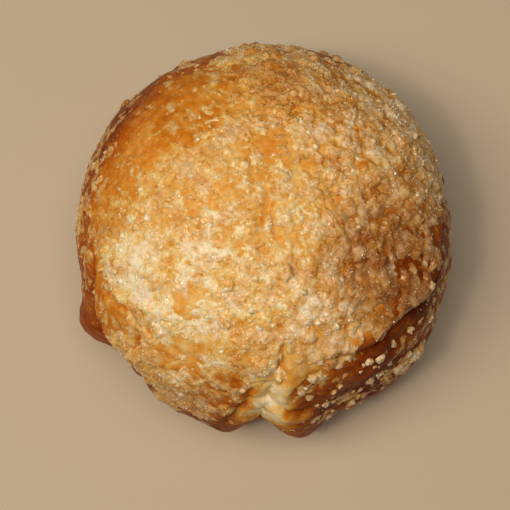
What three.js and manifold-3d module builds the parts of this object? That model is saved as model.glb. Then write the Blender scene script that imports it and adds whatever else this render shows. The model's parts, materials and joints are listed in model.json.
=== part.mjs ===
// A baked fruit dumpling: one ball of puff pastry wrapped round a whole fruit, brushed with egg, crusted
// with coarse sugar and baked seam side down. It is uncut, so it is one closed solid.
//
// Millimetres, +Z up. The origin is the middle of the flat underside, the main pleat faces -Y and +X is the
// right of that pleat. The skin is one radius for each direction out of the ball's middle. A direction is an
// azimuth (degrees from +X, counter-clockwise) and a polar angle (degrees down from the top).
import * as THREE from "three";
import { mergeVertices } from "three/addons/utils/BufferGeometryUtils.js";
import Module from "manifold-3d";

// ---- Driving dimensions ------------------------------------------------------------------------------

const BALL = {
  middle: 31, // height of the ball's middle over the table
  half: 47.3, // half width of the bare ball
  crown: 40, // middle to top
  keel: 37, // middle to where the underside would end, were it not flattened by the tray
  crownPower: 2.25, // 2 is an ellipse; more is squarer
  keelPower: 2.5,
};
const FOOT_ROUND = 2; // rounding between the wall and the flat underside
const ARC = 47; // millimetres of surface for one radian, used for widths across the skin

// Bulges: [azimuth, polar, height, azimuth spread, polar spread], spreads in degrees.
const LOBES = [
  [243, 112, 4.4, 18, 20], // front-left flap
  [258.5, 108, 3.8, 6.5, 17], // its tip beside the main pleat
  [281.5, 106, 5.8, 8, 16], // rolled fold right of the main pleat
  [320, 106, 4.9, 15, 18], // wide flap, front right
  [303, 112, 2.0, 10, 18],
  [345, 106, 1.6, 16, 18],
  [204.5, 107, 6.6, 9.5, 15], // tuck on the left
  [136, 100, 3.0, 28, 20], // rear rim, left
  [82, 98, 3.4, 26, 20], // rear rim, right
];
// Shallow dents: [azimuth, polar, depth, spread].
const DENTS = [
  [320, 69, 2.0, 5.5],
  [92, 10, 0.7, 9],
  [240, 60, 0.8, 6],
  [20, 66, 0.8, 7],
];

// Creases and pleats. Each runs through points [azimuth, polar]; depth and width grow from the first
// number to the second on the way. To the left of the way the next layer of dough stands proud by `step`,
// which dies away over STEP_REACH, and is rolled over by `lip`; minus signs put them on the right.
const STEP_REACH = 7;
const FOLDS = [
  // main pleat, from the crown's edge down to the inner layer that shows in its notch
  { path: [[277, 46], [273.8, 58], [271, 69], [269.5, 80], [269.5, 90], [269.8, 99]],
    depth: [0.7, 2.2], width: [1.3, 3.2], step: 0.9, lip: 0.8 },
  // inner layer on the pleat's left wall
  { path: [[266, 62], [264, 70], [261, 80], [259, 92]],
    depth: [0.7, 1.4], width: [0.9, 1.2], step: -0.5, lip: 0 },
  // crease across the rolled fold, and the edge of its darker layer
  { path: [[269, 68.5], [273.5, 72.5], [278, 77], [282, 79.5], [285, 80]],
    depth: [0.8, 1.3], width: [0.8, 1.1], step: -0.7, lip: -0.5 },
  { path: [[285.5, 60], [281.8, 61.5], [279, 65], [278.2, 70]],
    depth: [0.4, 0.7], width: [0.8, 0.9], step: -0.3, lip: -0.2 },
  // crease of the left tuck, the gap between its layers, and the gap over its lobe
  { path: [[201, 67.5], [207, 63.5], [213, 60.5], [219, 61.5], [223, 66], [226, 73]],
    depth: [0.9, 1.7], width: [1.1, 1.3], step: 0.5, lip: 0.4 },
  { path: [[202, 69], [206.5, 75.5], [209.5, 80], [212, 87], [216, 94]],
    depth: [0.6, 1.4], width: [0.8, 1.0], step: 0.3, lip: 0.3 },
  { path: [[188, 66], [196, 70], [201, 75.5], [204, 81], [208, 88], [214, 94], [221, 101]],
    depth: [0.6, 2.6], width: [1.0, 1.6], step: 0, lip: 0 },
  // edge of the crust above the front-right skirt, and two ridges on the skirt
  { path: [[289, 57.5], [295, 56.5], [302, 58], [308, 60.5], [314, 61.5], [320, 61.5], [327, 63], [334, 68]],
    depth: [0.2, 1.9], width: [1.3, 2.0], step: 0.45, lip: 0.4 },
  { path: [[300, 77], [306, 75], [312, 76], [318, 79]],
    depth: [0.2, 0.7], width: [1.2, 1.6], step: 0.3, lip: 0.3 },
  { path: [[298, 97], [307, 92], [318, 91.5], [330, 97]],
    depth: [0.3, 0.9], width: [1.2, 1.5], step: 0.3, lip: 0.3 },
  // edge of the crust on the right
  { path: [[329, 69], [339, 66], [352, 66.5], [5, 66]],
    depth: [0.9, 0.5], width: [1.4, 1.3], step: 0.4, lip: 0.3 },
  // rim on the rear left
  { path: [[177, 71], [168, 66], [157, 68], [146, 64.5], [133, 66.5], [121, 72]],
    depth: [0.3, 0.5], width: [1.1, 1.4], step: -0.5, lip: -0.3 },
  // two splits in the crown
  { path: [[86, 6], [60, 1], [268, 5], [263, 9]],
    depth: [0.7, 0.9], width: [0.7, 0.8], step: 0.2, lip: 0 },
  { path: [[30, 3.5], [300, 4.5], [290, 8], [285, 13]],
    depth: [0.5, 0.6], width: [0.6, 0.7], step: 0, lip: 0 },
  // plain pleats at the back and on the right, low down
  { path: [[113, 80], [110, 92], [108, 108], [110, 130]],
    depth: [0.5, 3.8], width: [1.2, 2.4], step: 0.6, lip: 0.6 },
  { path: [[60, 84], [63, 96], [62, 112], [60, 128]],
    depth: [0.4, 2.2], width: [1.1, 1.8], step: 0.4, lip: 0.3 },
  { path: [[12, 80], [15, 94], [15, 110], [12, 130]],
    depth: [0.5, 3.4], width: [1.2, 2.3], step: 0.6, lip: 0.6 },
  { path: [[163, 88], [160, 100], [162, 116], [165, 130]],
    depth: [0.4, 2.4], width: [1.1, 2.0], step: 0.4, lip: 0.4 },
  { path: [[232, 92], [229, 104], [230, 118], [233, 130]],
    depth: [0.4, 2.4], width: [1.1, 2.0], step: 0.4, lip: 0.3 },
  // main pleat under its inner layer, down to the table
  { path: [[269.8, 101], [270, 112], [270, 124], [270, 136]],
    depth: [1.0, 6.0], width: [2.0, 3.3], step: 0.6, lip: 0.6 },
];

// Seams pressed flat against the tray: points [x, y], with one groove size for all of them. The last flap is
// a tongue across the middle and the other seams run from its edge to the rim.
const SEAM = { depth: 1.4, width: 1.3 };
const SEAMS = [
  [[-31, -12], [-18, -12.5], [-4, -10.5], [7, -6], [11, 1], [6, 8.5], [-6, 12], [-19, 13.5], [-30, 16]],
  [[4, -8], [9, -18], [10, -31]],
  [[11, 2], [21, 5], [31, 12]],
  [[-2, 11.5], [2, 21], [-2, 32]],
];

// Swells of the dough: number of waves, height, shortest and longest wavelength, seed.
const SWELLS = [
  { count: 10, height: 0.45, short: 22, long: 45, seed: 5 },
  { count: 18, height: 0.16, short: 7, long: 14, seed: 9 },
];

// Where the sugar lies: [azimuth, polar, radius across the skin, share of the skin covered]. Later patches
// are laid over earlier ones, and negative shares are the bare places.
const SUGAR = [
  [203, 50.4, 13, 0.5], [221.6, 29, 10, 0.4], [127.7, 27.7, 9, 0.3], [291.8, 39.1, 13, 0.45], [24.8, 54.1, 15, 0.45],
  [41.1, 60.7, 12, 0.35], [239.6, 84.2, 12, 0.4], [225, 78, 10, 0.35], [246, 95, 7, 0.4], [258.2, 42, 10, 0.3],
  [348, 38, 7, 0.25], [326.5, 33.2, 11, 0.2], [5, 58, 6, 0.3], [91.9, 57, 12, 0.2], [59.9, 43.8, 12, 0.25],
  [317.6, 89.6, 4.5, 0.9], [133.7, 55, 20, -0.93], [154.9, 54, 12, -0.88], [175.2, 58, 8, -0.7], [130, 38, 8, -0.5],
  [90.9, 18, 9, -0.45], [231.2, 40.1, 5, -0.75], [280.6, 55, 6.2, -0.99], [280.7, 76, 11, -0.97], [301, 72.5, 14, -0.97],
  [312.9, 66, 10.5, -0.95], [324, 66, 7, -0.95], [350.2, 72, 8, -0.85], [5, 75, 8, -0.8], [333, 71, 8, -0.95],
  [187.5, 70, 8, -0.7], [203, 72, 10, -0.95], [257.5, 97, 6, -0.95], [150, 74, 8, -0.9], [128, 77, 8, -0.9],
  [108, 78, 7, -0.7], [206, 90, 9, -0.95], [70, 78, 7, -0.6], [240.6, 57.5, 6, -0.85], [276.9, 11.1, 4, -0.5],
  [261.5, 68, 6, -0.8], [348, 57, 7, -0.25], [335, 54, 6, -0.3], [271.2, 51.5, 3.4, 0.95], [269, 55.8, 3.6, 0.95],
  [267, 60.5, 2.8, 0.8], [276.6, 54, 1.9, -0.97], [272.5, 65, 4.2, -0.95],
];
const SUGAR_BASE = 0.5; // share covered on the crown, outside every patch
const SUGAR_FADE = [66, 100]; // polar angles between which the crown's share fades to none

// The biggest lumps of sugar: tries on an even spiral, and the size range of those kept.
const LUMP = { tries: 400, polar: 102, wide: [3.0, 5.6], high: 0.42, sunk: 0.3, keep: 0.62, seed: 31 };

// Mesh sizes: corners nearer to a crease than `snap` are moved onto it, edges that cross a crease are cut at
// it, and an edge is halved while the skin leaves it by more than `miss`, down to the `short` length.
const MESH = { start: 11, snap: 1.1, miss: 0.25, short: 1.9, rounds: 5 };
const CREASE_STEP = 3; // millimetres between the corners of a crease
const CREASE_WANDER = 0.5; // how far it wanders to each side

// ---- Small helpers -----------------------------------------------------------------------------------

const RADIAN = Math.PI / 180;

// A fixed number between 0 and 1 for each pair of whole numbers.
function draw(number, seed) {
  const value = Math.sin(number * 12.9898 + seed * 78.233) * 43758.5453;
  return value - Math.floor(value);
}

function ramp(value, low, high) {
  const t = Math.min(Math.max((value - low) / (high - low), 0), 1);
  return t * t * (3 - 2 * t);
}

function mix(a, b, t) {
  return a + (b - a) * t;
}

function direction(azimuth, polar) {
  const across = Math.sin(polar * RADIAN);
  return new THREE.Vector3(
    across * Math.cos(azimuth * RADIAN),
    across * Math.sin(azimuth * RADIAN),
    Math.cos(polar * RADIAN),
  );
}

// Difference of two azimuths, from -180 to 180.
function turn(a, b) {
  return ((((a - b + 180) % 360) + 360) % 360) - 180;
}

// ---- The skin ----------------------------------------------------------------------------------------

// Radius of the bare ball for a polar angle in radians.
function ballRadius(polar) {
  const up = Math.cos(polar);
  const [power, height] = up >= 0 ? [BALL.crownPower, BALL.crown] : [BALL.keelPower, BALL.keel];
  const across = Math.abs(Math.sin(polar)) / BALL.half;
  return (across ** power + (Math.abs(up) / height) ** power) ** (-1 / power);
}

// Waves of one SWELLS entry: a fixed heading, length and phase for each.
const swells = SWELLS.map(({ count, height, short, long, seed }) =>
  Array.from({ length: count }, (_, i) => {
    const up = 2 * draw(i, seed) - 1;
    const round = 2 * Math.PI * draw(i, seed + 1);
    const flat = Math.sqrt(1 - up * up);
    const length = mix(short, long, draw(i, seed + 2));
    return {
      heading: new THREE.Vector3(flat * Math.cos(round), flat * Math.sin(round), up)
        .multiplyScalar((2 * Math.PI * ARC) / length),
      phase: 2 * Math.PI * draw(i, seed + 3),
      height: height / Math.sqrt(count / 2),
    };
  }),
).flat();

// A smooth, slightly wandering line of directions through the given ones. `seed` sets how it wanders.
function creaseLine(ends, seed) {
  const curve = new THREE.CatmullRomCurve3(ends, false, "catmullrom", 0.5);
  let length = 0;
  for (let i = 1; i < ends.length; i++) length += ends[i].distanceTo(ends[i - 1]) * ARC;
  const count = Math.max(Math.round(length / CREASE_STEP), ends.length);
  const line = [];
  for (let i = 0; i <= count; i++) line.push(curve.getPoint(i / count).normalize());
  return line.map((point, i) => {
    if (i === 0 || i === count) return point;
    const aside = line[i + 1].clone().sub(line[i - 1]).cross(point).normalize();
    return point.clone().addScaledVector(aside, (2 * CREASE_WANDER * (draw(i, seed) - 0.5)) / ARC).normalize();
  });
}

const folds = FOLDS.map((fold, i) => {
  const points = creaseLine(fold.path.map(([azimuth, polar]) => direction(azimuth, polar)), 70 + i);
  return { ...fold, points, crosses: points.slice(1).map((p, k) => points[k].clone().cross(p)) };
});

// The seams as lines of directions. Straight lines on the underside are great circles seen from the middle.
const seams = SEAMS.map((seam, i) =>
  creaseLine(seam.map(([x, y]) => new THREE.Vector3(x, y, -BALL.middle).normalize()), 90 + i),
);
const creases = [...folds.map((fold) => fold.points), ...seams];

// Height that one fold adds for direction d: its groove, and the layer that stands proud beside it.
function foldHeight(d, fold) {
  let near = Infinity;
  let side = 1;
  let along = 0;
  const parts = fold.points.length - 1;
  const step = new THREE.Vector3();
  const from = new THREE.Vector3();
  for (let i = 0; i < parts; i++) {
    step.subVectors(fold.points[i + 1], fold.points[i]);
    from.subVectors(d, fold.points[i]);
    const t = Math.min(Math.max(from.dot(step) / step.lengthSq(), 0), 1);
    const distance = from.addScaledVector(step, -t).length() * ARC;
    if (distance < near) {
      near = distance;
      side = Math.sign(d.dot(fold.crosses[i])) || 1;
      along = (i + t) / parts;
    }
  }
  if (near > 3 * STEP_REACH) return 0;
  const depth = mix(...fold.depth, along);
  const width = mix(...fold.width, along);
  const ends = ramp(along, 0, 0.12) * ramp(1 - along, -0.02, 0.05);
  let height = -depth * Math.exp(-((near / width) ** 1.6));
  if (side * fold.step > 0) height += Math.abs(fold.step) * Math.exp(-((near / STEP_REACH) ** 2));
  if (side * fold.lip > 0)
    height += Math.abs(fold.lip) * Math.exp(-(((near - 2.2 * width) / (1.5 * width)) ** 2));
  return ends * height;
}

// Depth of the seams in the flat underside at a point of it.
function seamDepth(x, y) {
  let near = Infinity;
  for (const seam of seams)
    for (let i = 0; i + 1 < seam.length; i++) {
      const [x0, y0, x1, y1] = [seam[i], seam[i + 1]].flatMap((p) =>
        [(p.x * BALL.middle) / -p.z, (p.y * BALL.middle) / -p.z],
      );
      const [dx, dy] = [x1 - x0, y1 - y0];
      const t = Math.min(Math.max(((x - x0) * dx + (y - y0) * dy) / (dx * dx + dy * dy), 0), 1);
      near = Math.min(near, Math.hypot(x - x0 - t * dx, y - y0 - t * dy));
    }
  return SEAM.depth * Math.exp(-((near / SEAM.width) ** 2));
}

// Point of the skin in direction d.
function skinPoint(d) {
  const polar = Math.acos(Math.min(Math.max(d.z, -1), 1));
  const azimuth = Math.atan2(d.y, d.x) / RADIAN;
  let radius = ballRadius(polar);
  for (const [a, p, height, aSpread, pSpread] of LOBES)
    radius += height * Math.exp(-((turn(azimuth, a) / aSpread) ** 2) - ((polar / RADIAN - p) / pSpread) ** 2);
  for (const [a, p, depth, spread] of DENTS)
    radius -= depth * Math.exp(-((d.distanceTo(direction(a, p)) / (spread * RADIAN)) ** 2));
  for (const swell of swells) radius += swell.height * Math.sin(d.dot(swell.heading) + swell.phase);
  for (const fold of folds) radius += foldHeight(d, fold);

  const point = d.clone().multiplyScalar(radius);
  const height = point.z + BALL.middle;
  const blend = Math.max(FOOT_ROUND - Math.abs(height), 0) / FOOT_ROUND;
  point.z = Math.max(height, 0) + (blend * blend * FOOT_ROUND) / 4;
  if (height < FOOT_ROUND) {
    const pressed = 1 - ramp(height, 0, FOOT_ROUND);
    point.z += pressed * seamDepth(point.x, point.y);
  }
  return point;
}

// Share of the skin that the sugar covers in direction d.
function sugarShare(d) {
  const polar = Math.acos(Math.min(Math.max(d.z, -1), 1)) / RADIAN;
  let share = SUGAR_BASE * (1 - ramp(polar, ...SUGAR_FADE));
  for (const [a, p, reach, amount] of SUGAR) {
    const weight = Math.exp(-(((d.distanceTo(direction(a, p)) * ARC) / reach) ** 4));
    share = amount > 0 ? Math.min(share + amount * weight, 1) : share * (1 + amount * weight);
  }
  return share;
}

// ---- Meshes ------------------------------------------------------------------------------------------

// The point of the nearest crease, if one runs within `reach` of direction d.
function onCrease(d, reach) {
  let best = null;
  for (const line of creases)
    for (let i = 0; i + 1 < line.length; i++) {
      const near = new THREE.Line3(line[i], line[i + 1]).closestPointToPoint(d, true, new THREE.Vector3());
      const distance = near.distanceTo(d) * ARC;
      if (distance < reach) [reach, best] = [distance, near.normalize()];
    }
  return best;
}

// Where the edge between two directions crosses a crease, or null.
function crossing(a, b) {
  const plane = a.clone().cross(b);
  for (const line of creases)
    for (let i = 0; i + 1 < line.length; i++) {
      const [p, q] = [line[i], line[i + 1]];
      if (p.dot(a) < 0.9 || p.dot(plane) * q.dot(plane) > 0) continue;
      const other = p.clone().cross(q);
      if (other.dot(a) * other.dot(b) > 0) continue;
      const there = plane.clone().cross(other).normalize();
      if (there.dot(a) < 0) there.negate();
      const share = there.distanceTo(a) / b.distanceTo(a);
      if (share > 0.12 && share < 0.88) return there;
    }
  return null;
}

// Direction in which the edge between two directions is cut: on a crease, or halfway where the skin leaves
// the straight edge by more than MESH.miss, or null where it needs no cut.
function cutOf(a, b, pa, pb) {
  if (pa.distanceTo(pb) < MESH.short) return null;
  const there = crossing(a, b);
  if (there) return there;
  for (const t of [0.5, 0.25, 0.75]) {
    const point = skinPoint(a.clone().lerp(b, t).normalize());
    if (point.distanceTo(pa.clone().lerp(pb, t)) > MESH.miss) return a.clone().add(b).normalize();
  }
  return null;
}

// The skin as a closed mesh: a geodesic ball whose edges are cut where the skin turns sharply. An edge is
// cut for both of its triangles at once, so that the mesh stays closed.
function skinGeometry() {
  const ball = new THREE.IcosahedronGeometry(1, MESH.start);
  ball.deleteAttribute("normal");
  ball.deleteAttribute("uv");
  const merged = mergeVertices(ball, 1e-5);
  const position = merged.getAttribute("position");
  const directions = [];
  for (let i = 0; i < position.count; i++) {
    const d = new THREE.Vector3().fromBufferAttribute(position, i).normalize();
    directions.push(onCrease(d, MESH.snap) ?? d);
  }
  const points = directions.map(skinPoint);
  let faces = [];
  for (let i = 0; i < merged.index.count; i += 3)
    faces.push([0, 1, 2].map((k) => merged.index.getX(i + k)));

  for (let round = 0; round < MESH.rounds; round++) {
    const middles = new Map();
    const middleOf = (a, b) => {
      const key = a < b ? `${a},${b}` : `${b},${a}`;
      if (!middles.has(key)) {
        const [low, high] = a < b ? [a, b] : [b, a];
        const cut = cutOf(directions[low], directions[high], points[low], points[high]);
        if (cut) {
          directions.push(cut);
          points.push(skinPoint(cut));
        }
        middles.set(key, cut ? directions.length - 1 : -1);
      }
      return middles.get(key);
    };
    const next = [];
    for (let [a, b, c] of faces) {
      let [ab, bc, ca] = [middleOf(a, b), middleOf(b, c), middleOf(c, a)];
      const cuts = [ab, bc, ca].filter((m) => m >= 0).length;
      // turn the triangle until a one-cut has ab and a two-cut has ab and bc
      while ((cuts === 1 && ab < 0) || (cuts === 2 && ca >= 0))
        [a, b, c, ab, bc, ca] = [b, c, a, bc, ca, ab];
      if (cuts === 0) next.push([a, b, c]);
      if (cuts === 1) next.push([a, ab, c], [ab, b, c]);
      if (cuts === 2) {
        next.push([ab, b, bc]);
        const short = points[a].distanceTo(points[bc]) < points[c].distanceTo(points[ab]);
        if (short) next.push([a, ab, bc], [a, bc, c]);
        else next.push([a, ab, c], [ab, bc, c]);
      }
      if (cuts === 3) next.push([a, ab, ca], [ab, b, bc], [ca, bc, c], [ab, bc, ca]);
    }
    faces = next;
    if (![...middles.values()].some((m) => m >= 0)) break;
  }
  const geometry = new THREE.BufferGeometry().setFromPoints(points);
  geometry.setIndex(faces.flat());
  return geometry;
}

// One lump of fused sugar: an uneven, squashed 20-sided ball of the given width, for lump number n.
function lumpGeometry(n, wide) {
  const ball = new THREE.IcosahedronGeometry(wide / 2, 0);
  ball.deleteAttribute("normal");
  ball.deleteAttribute("uv");
  const lump = mergeVertices(ball, 1e-4);
  const position = lump.getAttribute("position");
  const corner = new THREE.Vector3();
  const spin = new THREE.Euler(6.3 * draw(n, 61), 6.3 * draw(n, 62), 6.3 * draw(n, 63));
  for (let i = 0; i < position.count; i++) {
    corner.fromBufferAttribute(position, i).applyEuler(spin);
    corner.multiplyScalar(0.82 + 0.36 * draw(n * 12 + i, 64));
    corner.set(corner.x * (0.8 + 0.35 * draw(n, 65)), corner.y, corner.z * LUMP.high);
    position.setXYZ(i, corner.x, corner.y, corner.z);
  }
  return lump;
}

// Places of the lumps: an even spiral down from the crown, kept where a draw falls under the sugar's share.
function lumpPlaces() {
  const places = [];
  const lowest = Math.cos(LUMP.polar * RADIAN);
  for (let n = 0; n < LUMP.tries; n++) {
    const up = 1 - ((n + 0.5) / LUMP.tries) * (1 - lowest);
    const azimuth = 137.508 * n + 14 * (draw(n, LUMP.seed) - 0.5);
    const d = direction(azimuth, Math.acos(up) / RADIAN + 4 * (draw(n, LUMP.seed + 1) - 0.5));
    const share = sugarShare(d);
    if (draw(n, LUMP.seed + 2) > share * LUMP.keep) continue;
    const wide = mix(...LUMP.wide, share * draw(n, LUMP.seed + 3));
    places.push({ n, d, wide });
  }
  return places;
}

// ---- Joining -----------------------------------------------------------------------------------------

const wasm = await Module();
wasm.setup();

function solid(geometry) {
  return new wasm.Manifold(
    new wasm.Mesh({
      numProp: 3,
      vertProperties: new Float32Array(geometry.getAttribute("position").array),
      triVerts: new Uint32Array(geometry.index.array),
    }),
  );
}

function meshGeometry(body) {
  const { vertProperties, triVerts } = body.getMesh();
  const geometry = new THREE.BufferGeometry();
  geometry.setAttribute("position", new THREE.BufferAttribute(vertProperties, 3));
  geometry.setIndex(new THREE.BufferAttribute(triVerts, 1));
  geometry.computeVertexNormals();
  return geometry;
}

let body = solid(skinGeometry());
for (const { n, d, wide } of lumpPlaces()) {
  const lump = lumpGeometry(n, wide);
  const place = skinPoint(d);
  // the skin's own slope here, from two points beside this one
  const east = new THREE.Vector3(-d.y, d.x, 0).add(new THREE.Vector3(1e-6, 0, 0)).normalize();
  const north = d.clone().cross(east);
  const a = skinPoint(d.clone().addScaledVector(east, 0.02).normalize()).sub(place);
  const b = skinPoint(d.clone().addScaledVector(north, 0.02).normalize()).sub(place);
  const normal = a.cross(b).normalize();
  lump.applyQuaternion(new THREE.Quaternion().setFromUnitVectors(new THREE.Vector3(0, 0, 1), normal));
  place.addScaledVector(normal, (wide / 2) * LUMP.high * (1 - 2 * LUMP.sunk));
  lump.translate(place.x, place.y, place.z);
  body = body.add(solid(lump));
}

const dumpling = new THREE.Group();
const pastry = new THREE.Mesh(
  meshGeometry(body),
  new THREE.MeshStandardMaterial({ color: "#c9893f", roughness: 0.42, metalness: 0 }),
);
pastry.name = "pastry";
dumpling.add(pastry);

export default dumpling;
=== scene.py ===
"""Visual model of a baked fruit dumpling: puff pastry wrapped round a whole fruit and crusted with sugar.

The dough's skin follows the same named sizes as the solid model, at a much finer mesh, and the sugar is
laid over it: a crust of half-melted grains with the biggest lumps in it, and loose crystals on top.
Sizes are in millimetres until a mesh is made; the meshes are in metres.
"""

import json
import logging
import math
from dataclasses import dataclass, field
from enum import Enum
from typing import Any, Sequence

import bmesh
import bpy
import numpy as np
from mathutils import Matrix, Vector, kdtree

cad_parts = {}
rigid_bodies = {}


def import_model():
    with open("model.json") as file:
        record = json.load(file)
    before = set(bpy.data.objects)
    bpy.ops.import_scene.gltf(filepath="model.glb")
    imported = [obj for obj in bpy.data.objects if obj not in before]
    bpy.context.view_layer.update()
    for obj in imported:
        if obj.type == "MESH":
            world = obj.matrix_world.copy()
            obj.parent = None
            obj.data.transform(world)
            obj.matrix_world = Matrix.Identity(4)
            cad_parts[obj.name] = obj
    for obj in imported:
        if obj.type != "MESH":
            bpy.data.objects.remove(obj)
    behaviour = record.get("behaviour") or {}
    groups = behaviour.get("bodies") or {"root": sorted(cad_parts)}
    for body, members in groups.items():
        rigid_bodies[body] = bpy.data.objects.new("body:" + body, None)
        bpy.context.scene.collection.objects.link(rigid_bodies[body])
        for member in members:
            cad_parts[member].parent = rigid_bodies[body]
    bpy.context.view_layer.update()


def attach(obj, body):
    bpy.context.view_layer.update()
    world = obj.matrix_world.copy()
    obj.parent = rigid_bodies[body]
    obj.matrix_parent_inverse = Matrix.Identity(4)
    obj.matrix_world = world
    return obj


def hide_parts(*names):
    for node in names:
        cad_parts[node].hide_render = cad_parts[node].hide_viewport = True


LOG = logging.getLogger("dumpling")
MILLIMETRE = 0.001
GOLDEN_ANGLE = 137.508
PER_SQUARE_METRE = 1e6  # square millimetres in a square metre

Array = np.ndarray
Tree = bpy.types.NodeTree
Socket = bpy.types.NodeSocket


# ---- Small helpers -------------------------------------------------------------------------------


def linear(colour: str) -> tuple[float, float, float, float]:
    """Turn an sRGB hex colour into the linear colour that shaders take.

    Args:
        colour: Six hex digits with a leading hash.

    Returns:
        Linear red, green, blue and an alpha of 1.
    """
    parts = [int(colour[i:i + 2], 16) / 255 for i in (1, 3, 5)]
    red, green, blue = [c / 12.92 if c <= 0.04045 else ((c + 0.055) / 1.055) ** 2.4 for c in parts]
    return red, green, blue, 1.0


def add_node(tree: Tree, kind: str, settings: dict[str, Any] | None = None,
             links: dict[Any, Any] | None = None) -> bpy.types.Node:
    """Add one node with its settings and links.

    Args:
        tree: The tree that gets the node.
        kind: Blender's type name of the node.
        settings: Attribute names of the node and their values.
        links: Input names or indices, each with an output socket to link or a value to set.

    Returns:
        The new node.
    """
    node = tree.nodes.new(kind)
    for name, value in (settings or {}).items():
        setattr(node, name, value)
    for key, value in (links or {}).items():
        if isinstance(value, Socket):
            tree.links.new(value, node.inputs[key])
        else:
            node.inputs[key].default_value = value
    return node


def set_stops(node: bpy.types.Node, stops: Sequence[tuple[float, str]]) -> None:
    """Give a colour ramp its stops.

    Args:
        node: The colour ramp node.
        stops: Places from 0 to 1, each with its sRGB hex colour.
    """
    elements = node.color_ramp.elements
    while len(elements) < len(stops):
        elements.new(1.0)
    for element, (at, colour) in zip(elements, stops):
        element.position = at
        element.color = linear(colour)


def draw(number: Array | float, seed: float) -> Array:
    """Return a fixed number from 0 to 1 for each pair of whole numbers."""
    value = np.sin(np.asarray(number, float) * 12.9898 + seed * 78.233) * 43758.5453
    return value - np.floor(value)


def draw_rows(number: Array, seeds: Sequence[float]) -> Array:
    """Return a row of fixed numbers from 0 to 1, one for each seed, for each whole number."""
    return np.stack([draw(number, seed) for seed in seeds], axis=1)


def ramp(value: Array, low: float, high: float) -> Array:
    """Return a smooth step from 0 at low to 1 at high."""
    t = np.clip((np.asarray(value, float) - low) / (high - low), 0, 1)
    return t * t * (3 - 2 * t)


def mix(a: Any, b: Any, t: Any) -> Any:
    """Blend from a to b by t."""
    return a + (b - a) * t


def direction(azimuth: Array | float, polar: Array | float) -> Array:
    """Return unit vectors for azimuths and polar angles in degrees."""
    a, p = np.radians(azimuth), np.radians(polar)
    return np.stack([np.sin(p) * np.cos(a), np.sin(p) * np.sin(a), np.cos(p) + 0 * a], axis=-1)


def unit(vectors: Array) -> Array:
    """Return the vectors scaled to a length of 1."""
    return vectors / np.linalg.norm(vectors, axis=-1, keepdims=True)


def polar_of(d: Array) -> Array:
    """Return the polar angle of each direction in degrees."""
    return np.degrees(np.arccos(np.clip(d[..., 2], -1, 1)))


def azimuth_of(d: Array) -> Array:
    """Return the azimuth of each direction in degrees."""
    return np.degrees(np.arctan2(d[..., 1], d[..., 0]))


def turn(a: Array, b: float) -> Array:
    """Return the difference of two azimuths, from -180 to 180."""
    return (a - b + 180) % 360 - 180


def shade(mesh: bpy.types.Mesh, smooth: bool) -> None:
    """Shade a mesh's faces smooth or flat.

    Args:
        mesh: The mesh.
        smooth: Whether the faces are shaded smooth.
    """
    if smooth:
        mesh.shade_smooth()
    else:
        mesh.shade_flat()


def make_object(name: str, points: Array, faces: Array, smooth: bool) -> bpy.types.Object:
    """Make a mesh object from points in millimetres and triangles.

    Args:
        name: The object's and mesh's name.
        points: Points in millimetres.
        faces: Triangles as rows of three point numbers.
        smooth: Whether the faces are shaded smooth.

    Returns:
        The object, linked to the scene.
    """
    mesh = bpy.data.meshes.new(name)
    mesh.vertices.add(len(points))
    mesh.vertices.foreach_set("co", (points * MILLIMETRE).astype(np.float32).ravel())
    mesh.loops.add(3 * len(faces))
    mesh.loops.foreach_set("vertex_index", faces.astype(np.int32).ravel())
    mesh.polygons.add(len(faces))
    mesh.polygons.foreach_set("loop_start", np.arange(0, 3 * len(faces), 3, dtype=np.int32))
    mesh.update(calc_edges=True)
    mesh.validate()
    shade(mesh, smooth)
    made = bpy.data.objects.new(name, mesh)
    bpy.context.scene.collection.objects.link(made)
    return made


def add_attribute(obj: bpy.types.Object, name: str, values: Array) -> None:
    """Store one number for each point of a mesh object under a name."""
    layer = obj.data.attributes.new(name, "FLOAT", "POINT")
    layer.data.foreach_set("value", values.astype(np.float32))


def triangle_grid(parts: int) -> tuple[list[tuple[int, int]], dict[tuple[int, int], int], list[tuple]]:
    """Divide one triangle by a grid of smaller ones.

    Args:
        parts: Parts that each of its edges is divided into.

    Returns:
        The grid's points as steps along two edges, the number of each point, and the small triangles.
    """
    rows = [(i, j) for i in range(parts + 1) for j in range(parts + 1 - i)]
    number = {row: k for k, row in enumerate(rows)}
    patch = [(number[i, j], number[i + 1, j], number[i, j + 1]) for i, j in rows if i + j < parts]
    patch += [(number[i + 1, j], number[i + 1, j + 1], number[i, j + 1])
              for i, j in rows if i + j < parts - 1]
    return rows, number, patch


def merge_points(points: Array) -> tuple[Array, Array]:
    """Return the points without those that lie at the place of another, and each one's number among them."""
    _, first, merged = np.unique(np.round(points, 6), axis=0, return_index=True, return_inverse=True)
    return points[first], merged.reshape(-1)


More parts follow.
